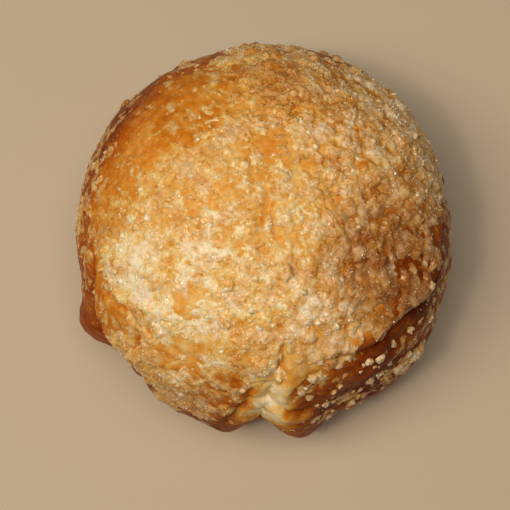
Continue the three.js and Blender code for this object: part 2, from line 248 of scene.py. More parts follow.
def geodesic(frequency: int) -> tuple[Array, Array]:
    """Divide an icosahedron's faces evenly and push the points out to a ball of radius 1.

    Args:
        frequency: Parts that each of the icosahedron's edges is divided into.

    Returns:
        The unit directions of the points, and the triangles, facing out.
    """
    g = (1 + math.sqrt(5)) / 2
    corners = unit(np.array([
        (-1, g, 0), (1, g, 0), (-1, -g, 0), (1, -g, 0), (0, -1, g), (0, 1, g),
        (0, -1, -g), (0, 1, -g), (g, 0, -1), (g, 0, 1), (-g, 0, -1), (-g, 0, 1)], float))
    sides = [(0, 11, 5), (0, 5, 1), (0, 1, 7), (0, 7, 10), (0, 10, 11), (1, 5, 9), (5, 11, 4),
             (11, 10, 2), (10, 7, 6), (7, 1, 8), (3, 9, 4), (3, 4, 2), (3, 2, 6), (3, 6, 8),
             (3, 8, 9), (4, 9, 5), (2, 4, 11), (6, 2, 10), (8, 6, 7), (9, 8, 1)]
    rows, _, patch = triangle_grid(frequency)
    weights = np.array(rows, float) / frequency
    points, faces = [], []
    for k, side in enumerate(sides):
        a, b, c = (corners[i] for i in side)
        points.append(a + weights[:, :1] * (b - a) + weights[:, 1:] * (c - a))
        faces.append(np.array(patch) + k * len(rows))
    ball, number = merge_points(unit(np.concatenate(points)))
    return ball, number[np.concatenate(faces)]


# ---- The dumpling's shape ------------------------------------------------------------------------


@dataclass(frozen=True)
class Bulge:
    """A soft bulge of the dough, or a dent where the height is negative."""

    azimuth: float
    polar: float
    height: float
    azimuth_spread: float
    polar_spread: float


@dataclass(frozen=True)
class Dent:
    """A shallow round dent, with its depth in millimetres and its spread in degrees."""

    azimuth: float
    polar: float
    depth: float
    spread: float


@dataclass(frozen=True)
class Fold:
    """A crease or pleat: its way over the skin, and the layer that stands proud beside it."""

    path: tuple[tuple[float, float], ...]
    depth: tuple[float, float]
    width: tuple[float, float]
    step: float
    lip: float


@dataclass(frozen=True)
class Swell:
    """A family of uneven waves: how many, how high, and the shortest and the longest in millimetres."""

    count: int
    height: float
    short: float
    long: float
    seed: int

    def over(self, points: Array) -> Array:
        """Work out the waves over some points.

        Args:
            points: Points in millimetres, one a row.

        Returns:
            How far the waves rise at each point, with a mean of 0 and their height as the spread.
        """
        number = np.arange(self.count)
        rise = 2 * draw(number, self.seed) - 1
        bearing = 2 * math.pi * draw(number, self.seed + 1)
        flat = np.sqrt(1 - rise ** 2)
        heading = np.stack([flat * np.cos(bearing), flat * np.sin(bearing), rise], axis=1)
        heading *= (2 * math.pi / mix(self.short, self.long, draw(number, self.seed + 2)))[:, None]
        phase = 2 * math.pi * draw(number, self.seed + 3)
        return self.height * (np.sin(points @ heading.T + phase).sum(axis=1) / math.sqrt(self.count / 2))


@dataclass(frozen=True)
class Patch:
    """A place on the skin where something changes: its reach in millimetres and its amount there."""

    azimuth: float
    polar: float
    reach: float
    amount: float


def patches(*rows: tuple[float, float, float, float]) -> tuple[Patch, ...]:
    """Return a patch for each row of azimuth, polar angle, reach and amount."""
    return tuple(Patch(*row) for row in rows)


FOLDS = (
    # main pleat, from the crown's edge down to the inner layer that shows in its notch
    Fold(((277, 46), (273.8, 58), (271, 69), (269.5, 80), (269.5, 90), (269.8, 99)),
         (0.7, 2.2), (1.3, 3.2), 0.9, 0.8),
    # inner layer on the pleat's left wall
    Fold(((266, 62), (264, 70), (261, 80), (259, 92)), (0.7, 1.4), (0.9, 1.2), -0.5, 0),
    # crease across the rolled fold, and the edge of its darker layer
    Fold(((269, 68.5), (273.5, 72.5), (278, 77), (282, 79.5), (285, 80)), (0.8, 1.3), (0.8, 1.1), -0.7, -0.5),
    Fold(((285.5, 60), (281.8, 61.5), (279, 65), (278.2, 70)), (0.4, 0.7), (0.8, 0.9), -0.3, -0.2),
    # crease of the left tuck, the gap between its layers, and the gap over its lobe
    Fold(((201, 67.5), (207, 63.5), (213, 60.5), (219, 61.5), (223, 66), (226, 73)),
         (0.9, 1.7), (1.1, 1.3), 0.5, 0.4),
    Fold(((202, 69), (206.5, 75.5), (209.5, 80), (212, 87), (216, 94)), (0.6, 1.4), (0.8, 1.0), 0.3, 0.3),
    Fold(((188, 66), (196, 70), (201, 75.5), (204, 81), (208, 88), (214, 94), (221, 101)),
         (0.6, 2.6), (1.0, 1.6), 0, 0),
    # edge of the crust above the front-right skirt, and two ridges on the skirt
    Fold(((289, 57.5), (295, 56.5), (302, 58), (308, 60.5), (314, 61.5), (320, 61.5), (327, 63), (334, 68)),
         (0.2, 1.9), (1.3, 2.0), 0.45, 0.4),
    Fold(((300, 77), (306, 75), (312, 76), (318, 79)), (0.2, 0.7), (1.2, 1.6), 0.3, 0.3),
    Fold(((298, 97), (307, 92), (318, 91.5), (330, 97)), (0.3, 0.9), (1.2, 1.5), 0.3, 0.3),
    # edge of the crust on the right
    Fold(((329, 69), (339, 66), (352, 66.5), (5, 66)), (0.9, 0.5), (1.4, 1.3), 0.4, 0.3),
    # rim on the rear left
    Fold(((177, 71), (168, 66), (157, 68), (146, 64.5), (133, 66.5), (121, 72)),
         (0.3, 0.5), (1.1, 1.4), -0.5, -0.3),
    # two splits in the crown
    Fold(((86, 6), (60, 1), (268, 5), (263, 9)), (0.7, 0.9), (0.7, 0.8), 0.2, 0),
    Fold(((30, 3.5), (300, 4.5), (290, 8), (285, 13)), (0.5, 0.6), (0.6, 0.7), 0, 0),
    # plain pleats at the back and on the right, low down
    Fold(((113, 80), (110, 92), (108, 108), (110, 130)), (0.5, 3.8), (1.2, 2.4), 0.6, 0.6),
    Fold(((60, 84), (63, 96), (62, 112), (60, 128)), (0.4, 2.2), (1.1, 1.8), 0.4, 0.3),
    Fold(((12, 80), (15, 94), (15, 110), (12, 130)), (0.5, 3.4), (1.2, 2.3), 0.6, 0.6),
    Fold(((163, 88), (160, 100), (162, 116), (165, 130)), (0.4, 2.4), (1.1, 2.0), 0.4, 0.4),
    Fold(((232, 92), (229, 104), (230, 118), (233, 130)), (0.4, 2.4), (1.1, 2.0), 0.4, 0.3),
    # main pleat under its inner layer, down to the table
    Fold(((269.8, 101), (270, 112), (270, 124), (270, 136)), (1.0, 6.0), (2.0, 3.3), 0.6, 0.6),
)

# Creases and layer edges finer than the solid model holds.
FINE_FOLDS = (
    # the sharp line of the pleat beside its flap
    Fold(((277.4, 45), (276.9, 49), (276.3, 53), (275.6, 57.5), (275, 61)),
         (1.7, 0.5), (0.6, 0.6), -0.7, 0.3),
    # layers that show in the rolled fold
    Fold(((270, 79), (273.5, 84), (278, 86.5), (283, 87)), (0.3, 0.5), (0.4, 0.5), 0, 0),
    # layers of the left tuck
    Fold(((204, 67), (208, 72), (211.5, 78), (215, 86)), (0.3, 0.55), (0.4, 0.5), 0.2, 0),
    Fold(((194, 71), (200, 77.5), (203, 84), (207, 91)), (0.3, 0.5), (0.4, 0.5), 0.2, 0),
)

# Where more or less sugar lies than on the rest of the crown: the amounts are shares of full cover.
SUGAR_PATCHES = patches(
    (203, 50.4, 13, 0.5), (221.6, 29, 10, 0.4), (127.7, 27.7, 9, 0.3), (291.8, 39.1, 13, 0.45),
    (24.8, 54.1, 15, 0.45), (41.1, 60.7, 12, 0.35), (239.6, 84.2, 12, 0.4), (225, 78, 10, 0.35),
    (246, 95, 7, 0.4), (258.2, 42, 10, 0.3), (348, 38, 7, 0.25), (326.5, 33.2, 11, 0.2), (5, 58, 6, 0.3),
    (91.9, 57, 12, 0.2), (59.9, 43.8, 12, 0.25), (317.6, 89.6, 4.5, 0.9),
    (133.7, 55, 20, -0.93), (154.9, 54, 12, -0.88), (175.2, 58, 8, -0.7), (130, 38, 8, -0.5),
    (90.9, 18, 9, -0.45), (231.2, 40.1, 5, -0.75), (280.6, 55, 6.2, -0.99), (280.7, 76, 11, -0.97),
    (301, 72.5, 14, -0.97), (312.9, 66, 10.5, -0.95), (324, 66, 7, -0.95), (350.2, 72, 8, -0.85),
    (5, 75, 8, -0.8), (333, 71, 8, -0.95), (187.5, 70, 8, -0.7), (203, 72, 10, -0.95), (257.5, 97, 6, -0.95),
    (150, 74, 8, -0.9), (128, 77, 8, -0.9), (108, 78, 7, -0.7), (206, 90, 9, -0.95), (70, 78, 7, -0.6),
    (240.6, 57.5, 6, -0.85), (276.9, 11.1, 4, -0.5), (261.5, 68, 6, -0.8), (348, 57, 7, -0.25),
    (335, 54, 6, -0.3),
    (271.2, 51.5, 3.4, 0.95), (269, 55.8, 3.6, 0.95), (267, 60.5, 2.8, 0.8),
    (276.6, 54, 1.9, -0.97), (272.5, 65, 4.2, -0.95),
)

# How far each place is baked: 0 is raw dough, 0.5 gold and 1 the darkest brown. The dark patches on the right
# side also hold painted shade, where that side turns from the key light.
BAKE_AND_SHADE_PATCHES = patches(
    (133.7, 53.9, 15, 0.53), (130.3, 39.4, 10, 0.49), (175.2, 53, 9, 0.54), (90.9, 18, 9, 0.42),
    (276.9, 11.1, 5, 0.25), (231.2, 40.1, 6, 0.16), (203, 48, 12, 0.32), (258, 42, 14, 0.36),
    (24.8, 54, 16, 0.56), (90, 57, 14, 0.56), (45, 62, 10, 0.62), (326, 33, 12, 0.50),
    (346, 44, 10, 0.72), (350, 58, 12, 0.86), (333, 55, 10, 0.86), (8, 64, 9, 0.70),
    (152, 65, 9, 0.72), (134, 68, 9, 0.74), (114, 72, 9, 0.70), (80, 73, 10, 0.66), (60, 70, 9, 0.66),
    (156, 73, 8, 0.86), (143, 74, 8, 0.88), (126, 78, 8, 0.84), (105, 79, 8, 0.76), (172, 74, 7, 0.78),
    (187, 71, 6, 0.60), (204, 69, 6, 0.46), (240, 75, 13, 0.47), (240, 55, 6, 0.27), (235, 52, 10, 0.31),
    (218, 56, 8, 0.42), (261, 68, 7, 0.68), (249, 78, 7, 0.64),
    (350.2, 72, 8, 0.86), (5, 74, 8, 0.82), (335, 71, 8, 0.94), (324.7, 66, 8, 0.98),
    (312.9, 66, 9, 0.84), (301, 70, 10, 0.86), (292, 84, 10, 0.94), (310, 84, 10, 0.97),
    (281, 54, 6, 0.24), (276.5, 64, 4.0, 0.18), (273.5, 70, 4.5, 0.10),
    (272.5, 80, 4.5, 0.16), (279, 84, 4.5, 0.42), (283, 66, 3.6, 0.72), (284, 73, 4.2, 0.80),
    (282, 96, 8, 0.78), (257, 97, 7, 0.86), (264, 82, 4, 0.36), (206, 92, 9, 0.70), (198, 80, 6, 0.74),
    (208, 78, 4.5, 0.40),
)

# Where dough lay in a fold, away from the glaze, and stayed pale.
RAW_PATCHES = patches(
    (269.5, 80, 5.4, 1.0), (269.5, 89, 5.6, 0.9), (270.5, 71, 5.0, 1.0), (272, 63.5, 4.0, 0.9),
    (269.5, 98, 5.5, 0.5), (269.5, 107, 5.0, 0.22))


@dataclass
class DoughShape:
    """The outer form of the dumpling, as one radius for each direction out of its middle."""

    middle: float = 31  # height of the ball's middle over the table
    half: float = 47.3  # half width of the bare ball
    crown: float = 40  # middle to top
    keel: float = 37  # middle to where the underside would end, were it not flat
    crown_power: float = 2.25
    keel_power: float = 2.5
    foot_round: float = 2
    arc: float = 47  # millimetres of surface for one radian
    step_reach: float = 7  # how far the step beside a crease dies away
    crease_step: float = 3
    crease_wander: float = 0.5
    crease_power: float = 1.6  # more makes a crease flatter at its bottom and steeper at its sides
    crease_margin: float = 0.5  # radians round a crease in which its layer edge can still show
    fade_in: float = 0.12  # share of a crease's length over which it starts
    fade_out: tuple[float, float] = (-0.02, 0.05)  # the same for its end, which keeps a fifth
    lip_out: float = 2.2  # how far a lip stands from its crease, in widths of the crease
    lip_width: float = 1.5  # width of a lip, in widths of the crease
    fold_seed: int = 70
    seam_seed: int = 90
    seam_depth: float = 1.4
    seam_width: float = 1.3
    bulges: tuple[Bulge, ...] = (
        Bulge(243, 112, 4.4, 18, 20), Bulge(258.5, 108, 3.8, 6.5, 17), Bulge(281.5, 106, 5.8, 8, 16),
        Bulge(320, 106, 4.9, 15, 18), Bulge(303, 112, 2.0, 10, 18), Bulge(345, 106, 1.6, 16, 18),
        Bulge(204.5, 107, 6.6, 9.5, 15), Bulge(136, 100, 3.0, 28, 20), Bulge(82, 98, 3.4, 26, 20))
    dents: tuple[Dent, ...] = (
        Dent(320, 69, 2.0, 5.5), Dent(92, 10, 0.7, 9), Dent(240, 60, 0.8, 6), Dent(20, 66, 0.8, 7))
    folds: tuple[Fold, ...] = FOLDS + FINE_FOLDS
    swells: tuple[Swell, ...] = (Swell(10, 0.45, 22, 45, 5), Swell(18, 0.16, 7, 14, 9))
    seams: tuple[tuple[tuple[float, float], ...], ...] = (
        ((-31, -12), (-18, -12.5), (-4, -10.5), (7, -6), (11, 1), (6, 8.5), (-6, 12), (-19, 13.5), (-30, 16)),
        ((4, -8), (9, -18), (10, -31)),
        ((11, 2), (21, 5), (31, 12)),
        ((-2, 11.5), (2, 21), (-2, 32)))
    sugar: tuple[Patch, ...] = SUGAR_PATCHES
    sugar_base: float = 0.5
    sugar_fade: tuple[float, float] = (66, 100)
    fold_lines: list[Array] = field(init=False)
    seam_lines: list[Array] = field(init=False)

    def __post_init__(self) -> None:
        """Work out the lines of the folds and seams once."""
        self.fold_lines = [
            self.crease_line(direction(*np.array(fold.path, float).T), self.fold_seed + i)
            for i, fold in enumerate(self.folds)]
        self.seam_lines = [
            self.crease_line(unit(np.array([(x, y, -self.middle) for x, y in seam])), self.seam_seed + i)
            for i, seam in enumerate(self.seams)]

    def crease_line(self, ends: Array, seed: int) -> Array:
        """Run a smooth, slightly wandering line through some directions.

        Args:
            ends: The directions that the line runs through, one a row.
            seed: Sets how it wanders.

        Returns:
            The directions along the line, one a row.
        """
        length = np.linalg.norm(np.diff(ends, axis=0), axis=1).sum() * self.arc
        count = max(math.floor(length / self.crease_step + 0.5), len(ends))
        padded = np.concatenate([[2 * ends[0] - ends[1]], ends, [2 * ends[-1] - ends[-2]]])
        place = np.linspace(0, 1, count + 1) * (len(ends) - 1)
        part = np.minimum(place.astype(int), len(ends) - 2)
        t = (place - part)[:, None]
        p0, p1, p2, p3 = (padded[part + k] for k in range(4))
        leave, arrive = 0.5 * (p2 - p0), 0.5 * (p3 - p1)
        line = p1 + leave * t + (3 * (p2 - p1) - 2 * leave - arrive) * t ** 2
        line = unit(line + (2 * (p1 - p2) + leave + arrive) * t ** 3)
        aside = unit(np.cross(line[2:] - line[:-2], line[1:-1]))
        shift = 2 * self.crease_wander * (draw(np.arange(1, count), seed) - 0.5) / self.arc
        wandering = line.copy()
        wandering[1:-1] = unit(line[1:-1] + aside * shift[:, None])
        return wandering

    def near_line(self, d: Array, line: Array) -> tuple[Array, Array, Array]:
        """Find where each direction lies beside a line.

        Args:
            d: Unit directions, one a row.
            line: Directions along the line, one a row.

        Returns:
            The distance in millimetres, 1 or -1 for the left or right of the line, and the share of the
            line's length that has been passed.
        """
        near = np.full(len(d), np.inf)
        side = np.ones(len(d))
        along = np.zeros(len(d))
        for i in range(len(line) - 1):
            step = line[i + 1] - line[i]
            t = np.clip((d - line[i]) @ step / (step @ step), 0, 1)
            distance = np.linalg.norm(d - line[i] - t[:, None] * step, axis=1) * self.arc
            closer = distance < near
            near[closer] = distance[closer]
            side[closer] = np.where(d[closer] @ np.cross(line[i], line[i + 1]) < 0, -1, 1)
            along[closer] = ((i + t) / (len(line) - 1))[closer]
        return near, side, along

    def fold_heights(self, d: Array) -> tuple[Array, Array]:
        """Add up what the folds do to the radius.

        Args:
            d: Unit directions, one a row.

        Returns:
            The height that the folds add, and how deep each point lies in a groove, from 0 to 1.
        """
        total, groove = np.zeros(len(d)), np.zeros(len(d))
        for fold, line in zip(self.folds, self.fold_lines):
            centre = unit(line.mean(axis=0))
            reach = (line @ centre).min()
            angle = min(math.acos(reach) + self.crease_margin, math.pi)
            close = np.flatnonzero(d @ centre > math.cos(angle))
            near, side, along = self.near_line(d[close], line)
            depth = mix(*fold.depth, along)
            width = mix(*fold.width, along)
            ends = ramp(along, 0, self.fade_in) * ramp(1 - along, *self.fade_out)
            dip = np.exp(-(near / width) ** self.crease_power)
            height = -depth * dip
            height += (side * fold.step > 0) * abs(fold.step) * np.exp(-(near / self.step_reach) ** 2)
            height += (side * fold.lip > 0) * abs(fold.lip) * np.exp(
                -((near - self.lip_out * width) / (self.lip_width * width)) ** 2)
            total[close] += np.where(near > 3 * self.step_reach, 0, ends * height)
            groove[close] = np.maximum(groove[close], ends * dip)
        return total, groove

    def seam_depths(self, x: Array, y: Array) -> Array:
        """Return the depth of the seams at points of the underside.

        Args:
            x: The points' first coordinates in millimetres.
            y: Their second coordinates.

        Returns:
            The depth at each point in millimetres.
        """
        near = np.full(len(x), np.inf)
        for line in self.seam_lines:
            flat = line[:, :2] * self.middle / -line[:, 2:]
            for (x0, y0), (x1, y1) in zip(flat[:-1], flat[1:]):
                dx, dy = x1 - x0, y1 - y0
                t = np.clip(((x - x0) * dx + (y - y0) * dy) / (dx * dx + dy * dy), 0, 1)
                near = np.minimum(near, np.hypot(x - x0 - t * dx, y - y0 - t * dy))
        return self.seam_depth * np.exp(-(near / self.seam_width) ** 2)

    def radius(self, d: Array) -> tuple[Array, Array]:
        """Work out the skin's radius.

        Args:
            d: Unit directions, one a row.

        Returns:
            The radius in each direction, and how deep it lies in a groove, from 0 to 1.
        """
        polar, azimuth = polar_of(d), azimuth_of(d)
        up = d[:, 2]
        power = np.where(up >= 0, self.crown_power, self.keel_power)
        height = np.where(up >= 0, self.crown, self.keel)
        across = np.sin(np.radians(polar)) / self.half
        radius = (across ** power + (np.abs(up) / height) ** power) ** (-1 / power)
        for b in self.bulges:
            radius += b.height * np.exp(-(turn(azimuth, b.azimuth) / b.azimuth_spread) ** 2
                                        - ((polar - b.polar) / b.polar_spread) ** 2)
        for dent in self.dents:
            away = np.linalg.norm(d - direction(dent.azimuth, dent.polar), axis=1)
            radius -= dent.depth * np.exp(-(away / math.radians(dent.spread)) ** 2)
        for swell in self.swells:
            radius += swell.over(d * self.arc)
        folds, groove = self.fold_heights(d)
        return radius + folds, groove

    def place(self, d: Array, radius: Array) -> Array:
        """Put points at their radii, and press the underside flat with its seams.

        Args:
            d: Unit directions, one a row.
            radius: The radius in each direction.

        Returns:
            The points in millimetres, on the table.
        """
        points = d * radius[:, None]
        height = points[:, 2] + self.middle
        blend = np.maximum(self.foot_round - np.abs(height), 0) / self.foot_round
        points[:, 2] = np.maximum(height, 0) + blend ** 2 * self.foot_round / 4
        low = np.flatnonzero(height < self.foot_round)
        pressed = 1 - ramp(height[low], 0, self.foot_round)
        points[low, 2] += pressed * self.seam_depths(points[low, 0], points[low, 1])
        return points

    def sugar_share(self, d: Array) -> Array:
        """Work out how much of the skin the sugar covers.

        Args:
            d: Unit directions, one a row.

        Returns:
            The covered share in each direction, from 0 to 1.
        """
        share = self.sugar_base * (1 - ramp(polar_of(d), *self.sugar_fade))
        for patch in self.sugar:
            weight = self.patch_weight(d, patch)
            if patch.amount > 0:
                share = np.minimum(share + patch.amount * weight, 1)
            else:
                share = share * (1 + patch.amount * weight)
        return share

    def patch_weight(self, d: Array, patch: Patch, power: float = 4) -> Array:
        """Return how much a patch counts in some directions; more power makes its edge steeper."""
        away = np.linalg.norm(d - direction(patch.azimuth, patch.polar), axis=1) * self.arc
        return np.exp(-(away / patch.reach) ** power)

    def add_patches(self, start: Array, d: Array, rows: tuple[Patch, ...]) -> Array:
        """Add the amounts of some patches to a value where they count.

        Args:
            start: The value without them in each direction.
            d: Unit directions, one a row.
            rows: The patches.

        Returns:
            The value with them.
        """
        total = start.copy()
        for patch in rows:
            total += patch.amount * self.patch_weight(d, patch)
        return total


# ---- Finishes ------------------------------------------------------------------------------------


def blank_material(name: str) -> tuple[bpy.types.Material, Tree]:
    """Make a material with an empty node tree.

    Args:
        name: The material's name.

    Returns:
        The material and its tree.
    """
    made = bpy.data.materials.new(name)
    made.use_nodes = True
    made.node_tree.nodes.clear()
    return made, made.node_tree


@dataclass(frozen=True)
class BakedDough:
    """Egg-washed puff pastry.

    Laminated dough brushed with beaten egg and baked: the wash browns to a thin satin glaze that shows the
    blisters of the dough under it, while dough that lay in a fold stays pale and matt. Beside the sugar the
    glaze took up melted sugar and turned to honey.
    """

    name: str = "puff_pastry_egg_washed"
    # colours from raw dough to the darkest brown, which also paint the shade that the bake holds
    browning_and_shade: tuple[tuple[float, str], ...] = (
        (0.0, "#f7ecd2"), (0.18, "#efcd84"), (0.34, "#e2a148"), (0.5, "#cf7f22"),
        (0.66, "#b15d15"), (0.82, "#8c3d0b"), (1.0, "#5e2004"))
    honey: tuple[tuple[float, str], ...] = ((0.3, "#cf8a30"), (0.5, "#dfa548"), (0.7, "#ecc072"))
    # size in millimetres, detail and amount: the oven's uneven heat, blisters, and specks of egg wash
    mottles: tuple[tuple[float, float, float], ...] = ((11.0, 3.0, 0.22), (2.6, 4.0, 0.22), (0.7, 2.0, 0.12))
    cloud_size: float = 2.0  # millimetres across the clouds in the honey and in the gloss
    speck_size: float = 1.7  # millimetres between the pale specks of melted sugar
    speck_colour: str = "#efc88e"
    blister_size: float = 1.5  # millimetres
    crumb_size: float = 0.4  # millimetres
    relief: float = 0.30  # height of the blisters in millimetres
    roughness: float = 0.26
    matting: float = 0.30  # how much rougher the clouds, and raw dough, are
    glow: tuple[float, float, float] = (0.9, 0.5, 0.25)  # how far red, green and blue light run inside it

    def material(self) -> bpy.types.Material:
        """Build the material from the skin's attributes and Object coordinates.

        Returns:
            The material.
        """
        made, tree = blank_material(self.name)
        place = add_node(tree, "ShaderNodeTexCoord").outputs["Object"]
        raw = add_node(tree, "ShaderNodeAttribute", {"attribute_name": "raw"}).outputs["Fac"]
        washed = add_node(tree, "ShaderNodeMath", {"operation": "SUBTRACT", "use_clamp": True},
                          {0: 1.0, 1: raw}).outputs[0]
        cloud = add_node(tree, "ShaderNodeTexNoise", links={
            "Vector": place, "Scale": 1 / (self.cloud_size * MILLIMETRE), "Detail": 4.0}).outputs["Fac"]
        bake = self.add_bake_and_shade(tree, place, washed)
        speck = self.add_specks(tree, place, washed, bake)
        colour = self.add_colour(tree, bake, cloud, speck)
        rough = self.roughness
        for matt in (cloud, raw):
            rough = add_node(tree, "ShaderNodeMath", {"operation": "MULTIPLY_ADD"},
                             {0: matt, 1: self.matting, 2: rough}).outputs[0]
        surface = add_node(tree, "ShaderNodeBsdfPrincipled", links={
            "Base Color": colour, "Roughness": rough, "Normal": self.add_relief(tree, place, speck),
            "IOR": 1.47, "Subsurface Weight": 0.12, "Subsurface Scale": 1.0,
            "Subsurface Radius": [reach * MILLIMETRE for reach in self.glow],
            "Specular IOR Level": 0.03, "Coat Weight": 0.07, "Coat Roughness": 0.14, "Coat IOR": 1.45})
        add_node(tree, "ShaderNodeOutputMaterial", links={"Surface": surface.outputs["BSDF"]})
        return made

    def add_bake_and_shade(self, tree: Tree, place: Socket, washed: Socket) -> Socket:
        """Add how far each place is baked, painted shade included, with the mottles of an uneven heat.

        Args:
            tree: The material's tree.
            place: Object coordinates.
            washed: How much egg wash a place has.

        Returns:
            The bake, from 0 for raw to 1 for the darkest brown.
        """
        bake = add_node(tree, "ShaderNodeAttribute", {"attribute_name": "bake"}).outputs["Fac"]
        for size, detail, amount in self.mottles:
            noise = add_node(tree, "ShaderNodeTexNoise", links={
                "Vector": place, "Scale": 1 / (size * MILLIMETRE), "Detail": detail}).outputs["Fac"]
            spread = add_node(tree, "ShaderNodeMath", {"operation": "MULTIPLY_ADD"},
                              {0: noise, 1: 2 * amount, 2: -amount}).outputs[0]
            bake = add_node(tree, "ShaderNodeMath", {"operation": "MULTIPLY_ADD"},
                            {0: spread, 1: washed, 2: bake}).outputs[0]
        return bake

    def add_specks(self, tree: Tree, place: Socket, washed: Socket, bake: Socket) -> Socket:
        """Add small pale grains of melted sugar in one cell out of three, fewer on the darkest dough.

        Args:
            tree: The material's tree.
            place: Object coordinates.
            washed: How much egg wash a place has.
            bake: How far it is baked, painted shade included.

        Returns:
            How much of a speck lies at each place.
        """
        cells = add_node(tree, "ShaderNodeTexVoronoi", {"feature": "F1"},
                         {"Vector": place, "Scale": 1 / (self.speck_size * MILLIMETRE)})
        near = add_node(tree, "ShaderNodeMapRange", {"interpolation_type": "SMOOTHSTEP"},
                        {"Value": cells.outputs["Distance"], "From Min": 0.34, "From Max": 0.16}).outputs[0]
        chosen = add_node(tree, "ShaderNodeSeparateColor", links={"Color": cells.outputs["Color"]}).outputs[0]
        chosen = add_node(tree, "ShaderNodeMapRange", links={
            "Value": chosen, "From Min": 0.62, "From Max": 1.0, "To Max": 0.45}).outputs[0]
        light = add_node(tree, "ShaderNodeMapRange", links={
            "Value": bake, "From Min": 0.60, "From Max": 0.85, "To Min": 1.0, "To Max": 0.2}).outputs[0]
        speck = near
        for share in (chosen, washed, light):
            speck = add_node(tree, "ShaderNodeMath", {"operation": "MULTIPLY"},
                             {0: speck, 1: share}).outputs[0]
        return speck

    def add_colour(self, tree: Tree, bake: Socket, cloud: Socket, speck: Socket) -> Socket:
        """Add the colour: the oven's browning with its painted shade, honey beside the sugar, and the specks.

        Args:
            tree: The material's tree.
            bake: How far each place is baked, painted shade included.
            cloud: Clouds of a few millimetres.
            speck: How much of a speck lies there.

        Returns:
            The colour.
        """
        glaze = add_node(tree, "ShaderNodeAttribute", {"attribute_name": "glaze"}).outputs["Fac"]
        dough = add_node(tree, "ShaderNodeValToRGB", links={"Fac": bake})
        set_stops(dough, self.browning_and_shade)
        honey = add_node(tree, "ShaderNodeValToRGB", links={"Fac": cloud})
        set_stops(honey, self.honey)
        colour = dough.outputs["Color"]
        for share, over in ((glaze, honey.outputs["Color"]), (speck, linear(self.speck_colour))):
            colour = add_node(tree, "ShaderNodeMix", {"data_type": "RGBA"},
                              {"Factor": share, 6: colour, 7: over}).outputs[2]
        return colour

    def add_relief(self, tree: Tree, place: Socket, speck: Socket) -> Socket:
        """Add the fine relief: blisters, the crumb of the dough, and the specks.

        Args:
            tree: The material's tree.
            place: Object coordinates.
            speck: How much of a speck lies at each place.

        Returns:
            The bumped normal.
        """
        height, crumb = (
            add_node(tree, "ShaderNodeTexNoise", links={
                "Vector": place, "Scale": 1 / (size * MILLIMETRE), "Detail": detail}).outputs["Fac"]
            for size, detail in ((self.blister_size, 3.0), (self.crumb_size, 2.0)))
        for part, amount in ((crumb, 0.22), (speck, 0.35)):
            height = add_node(tree, "ShaderNodeMath", {"operation": "MULTIPLY_ADD"},
                              {0: part, 1: amount, 2: height}).outputs[0]
        return add_node(tree, "ShaderNodeBump", links={
            "Height": height, "Distance": self.relief * MILLIMETRE, "Strength": 0.7}).outputs["Normal"]


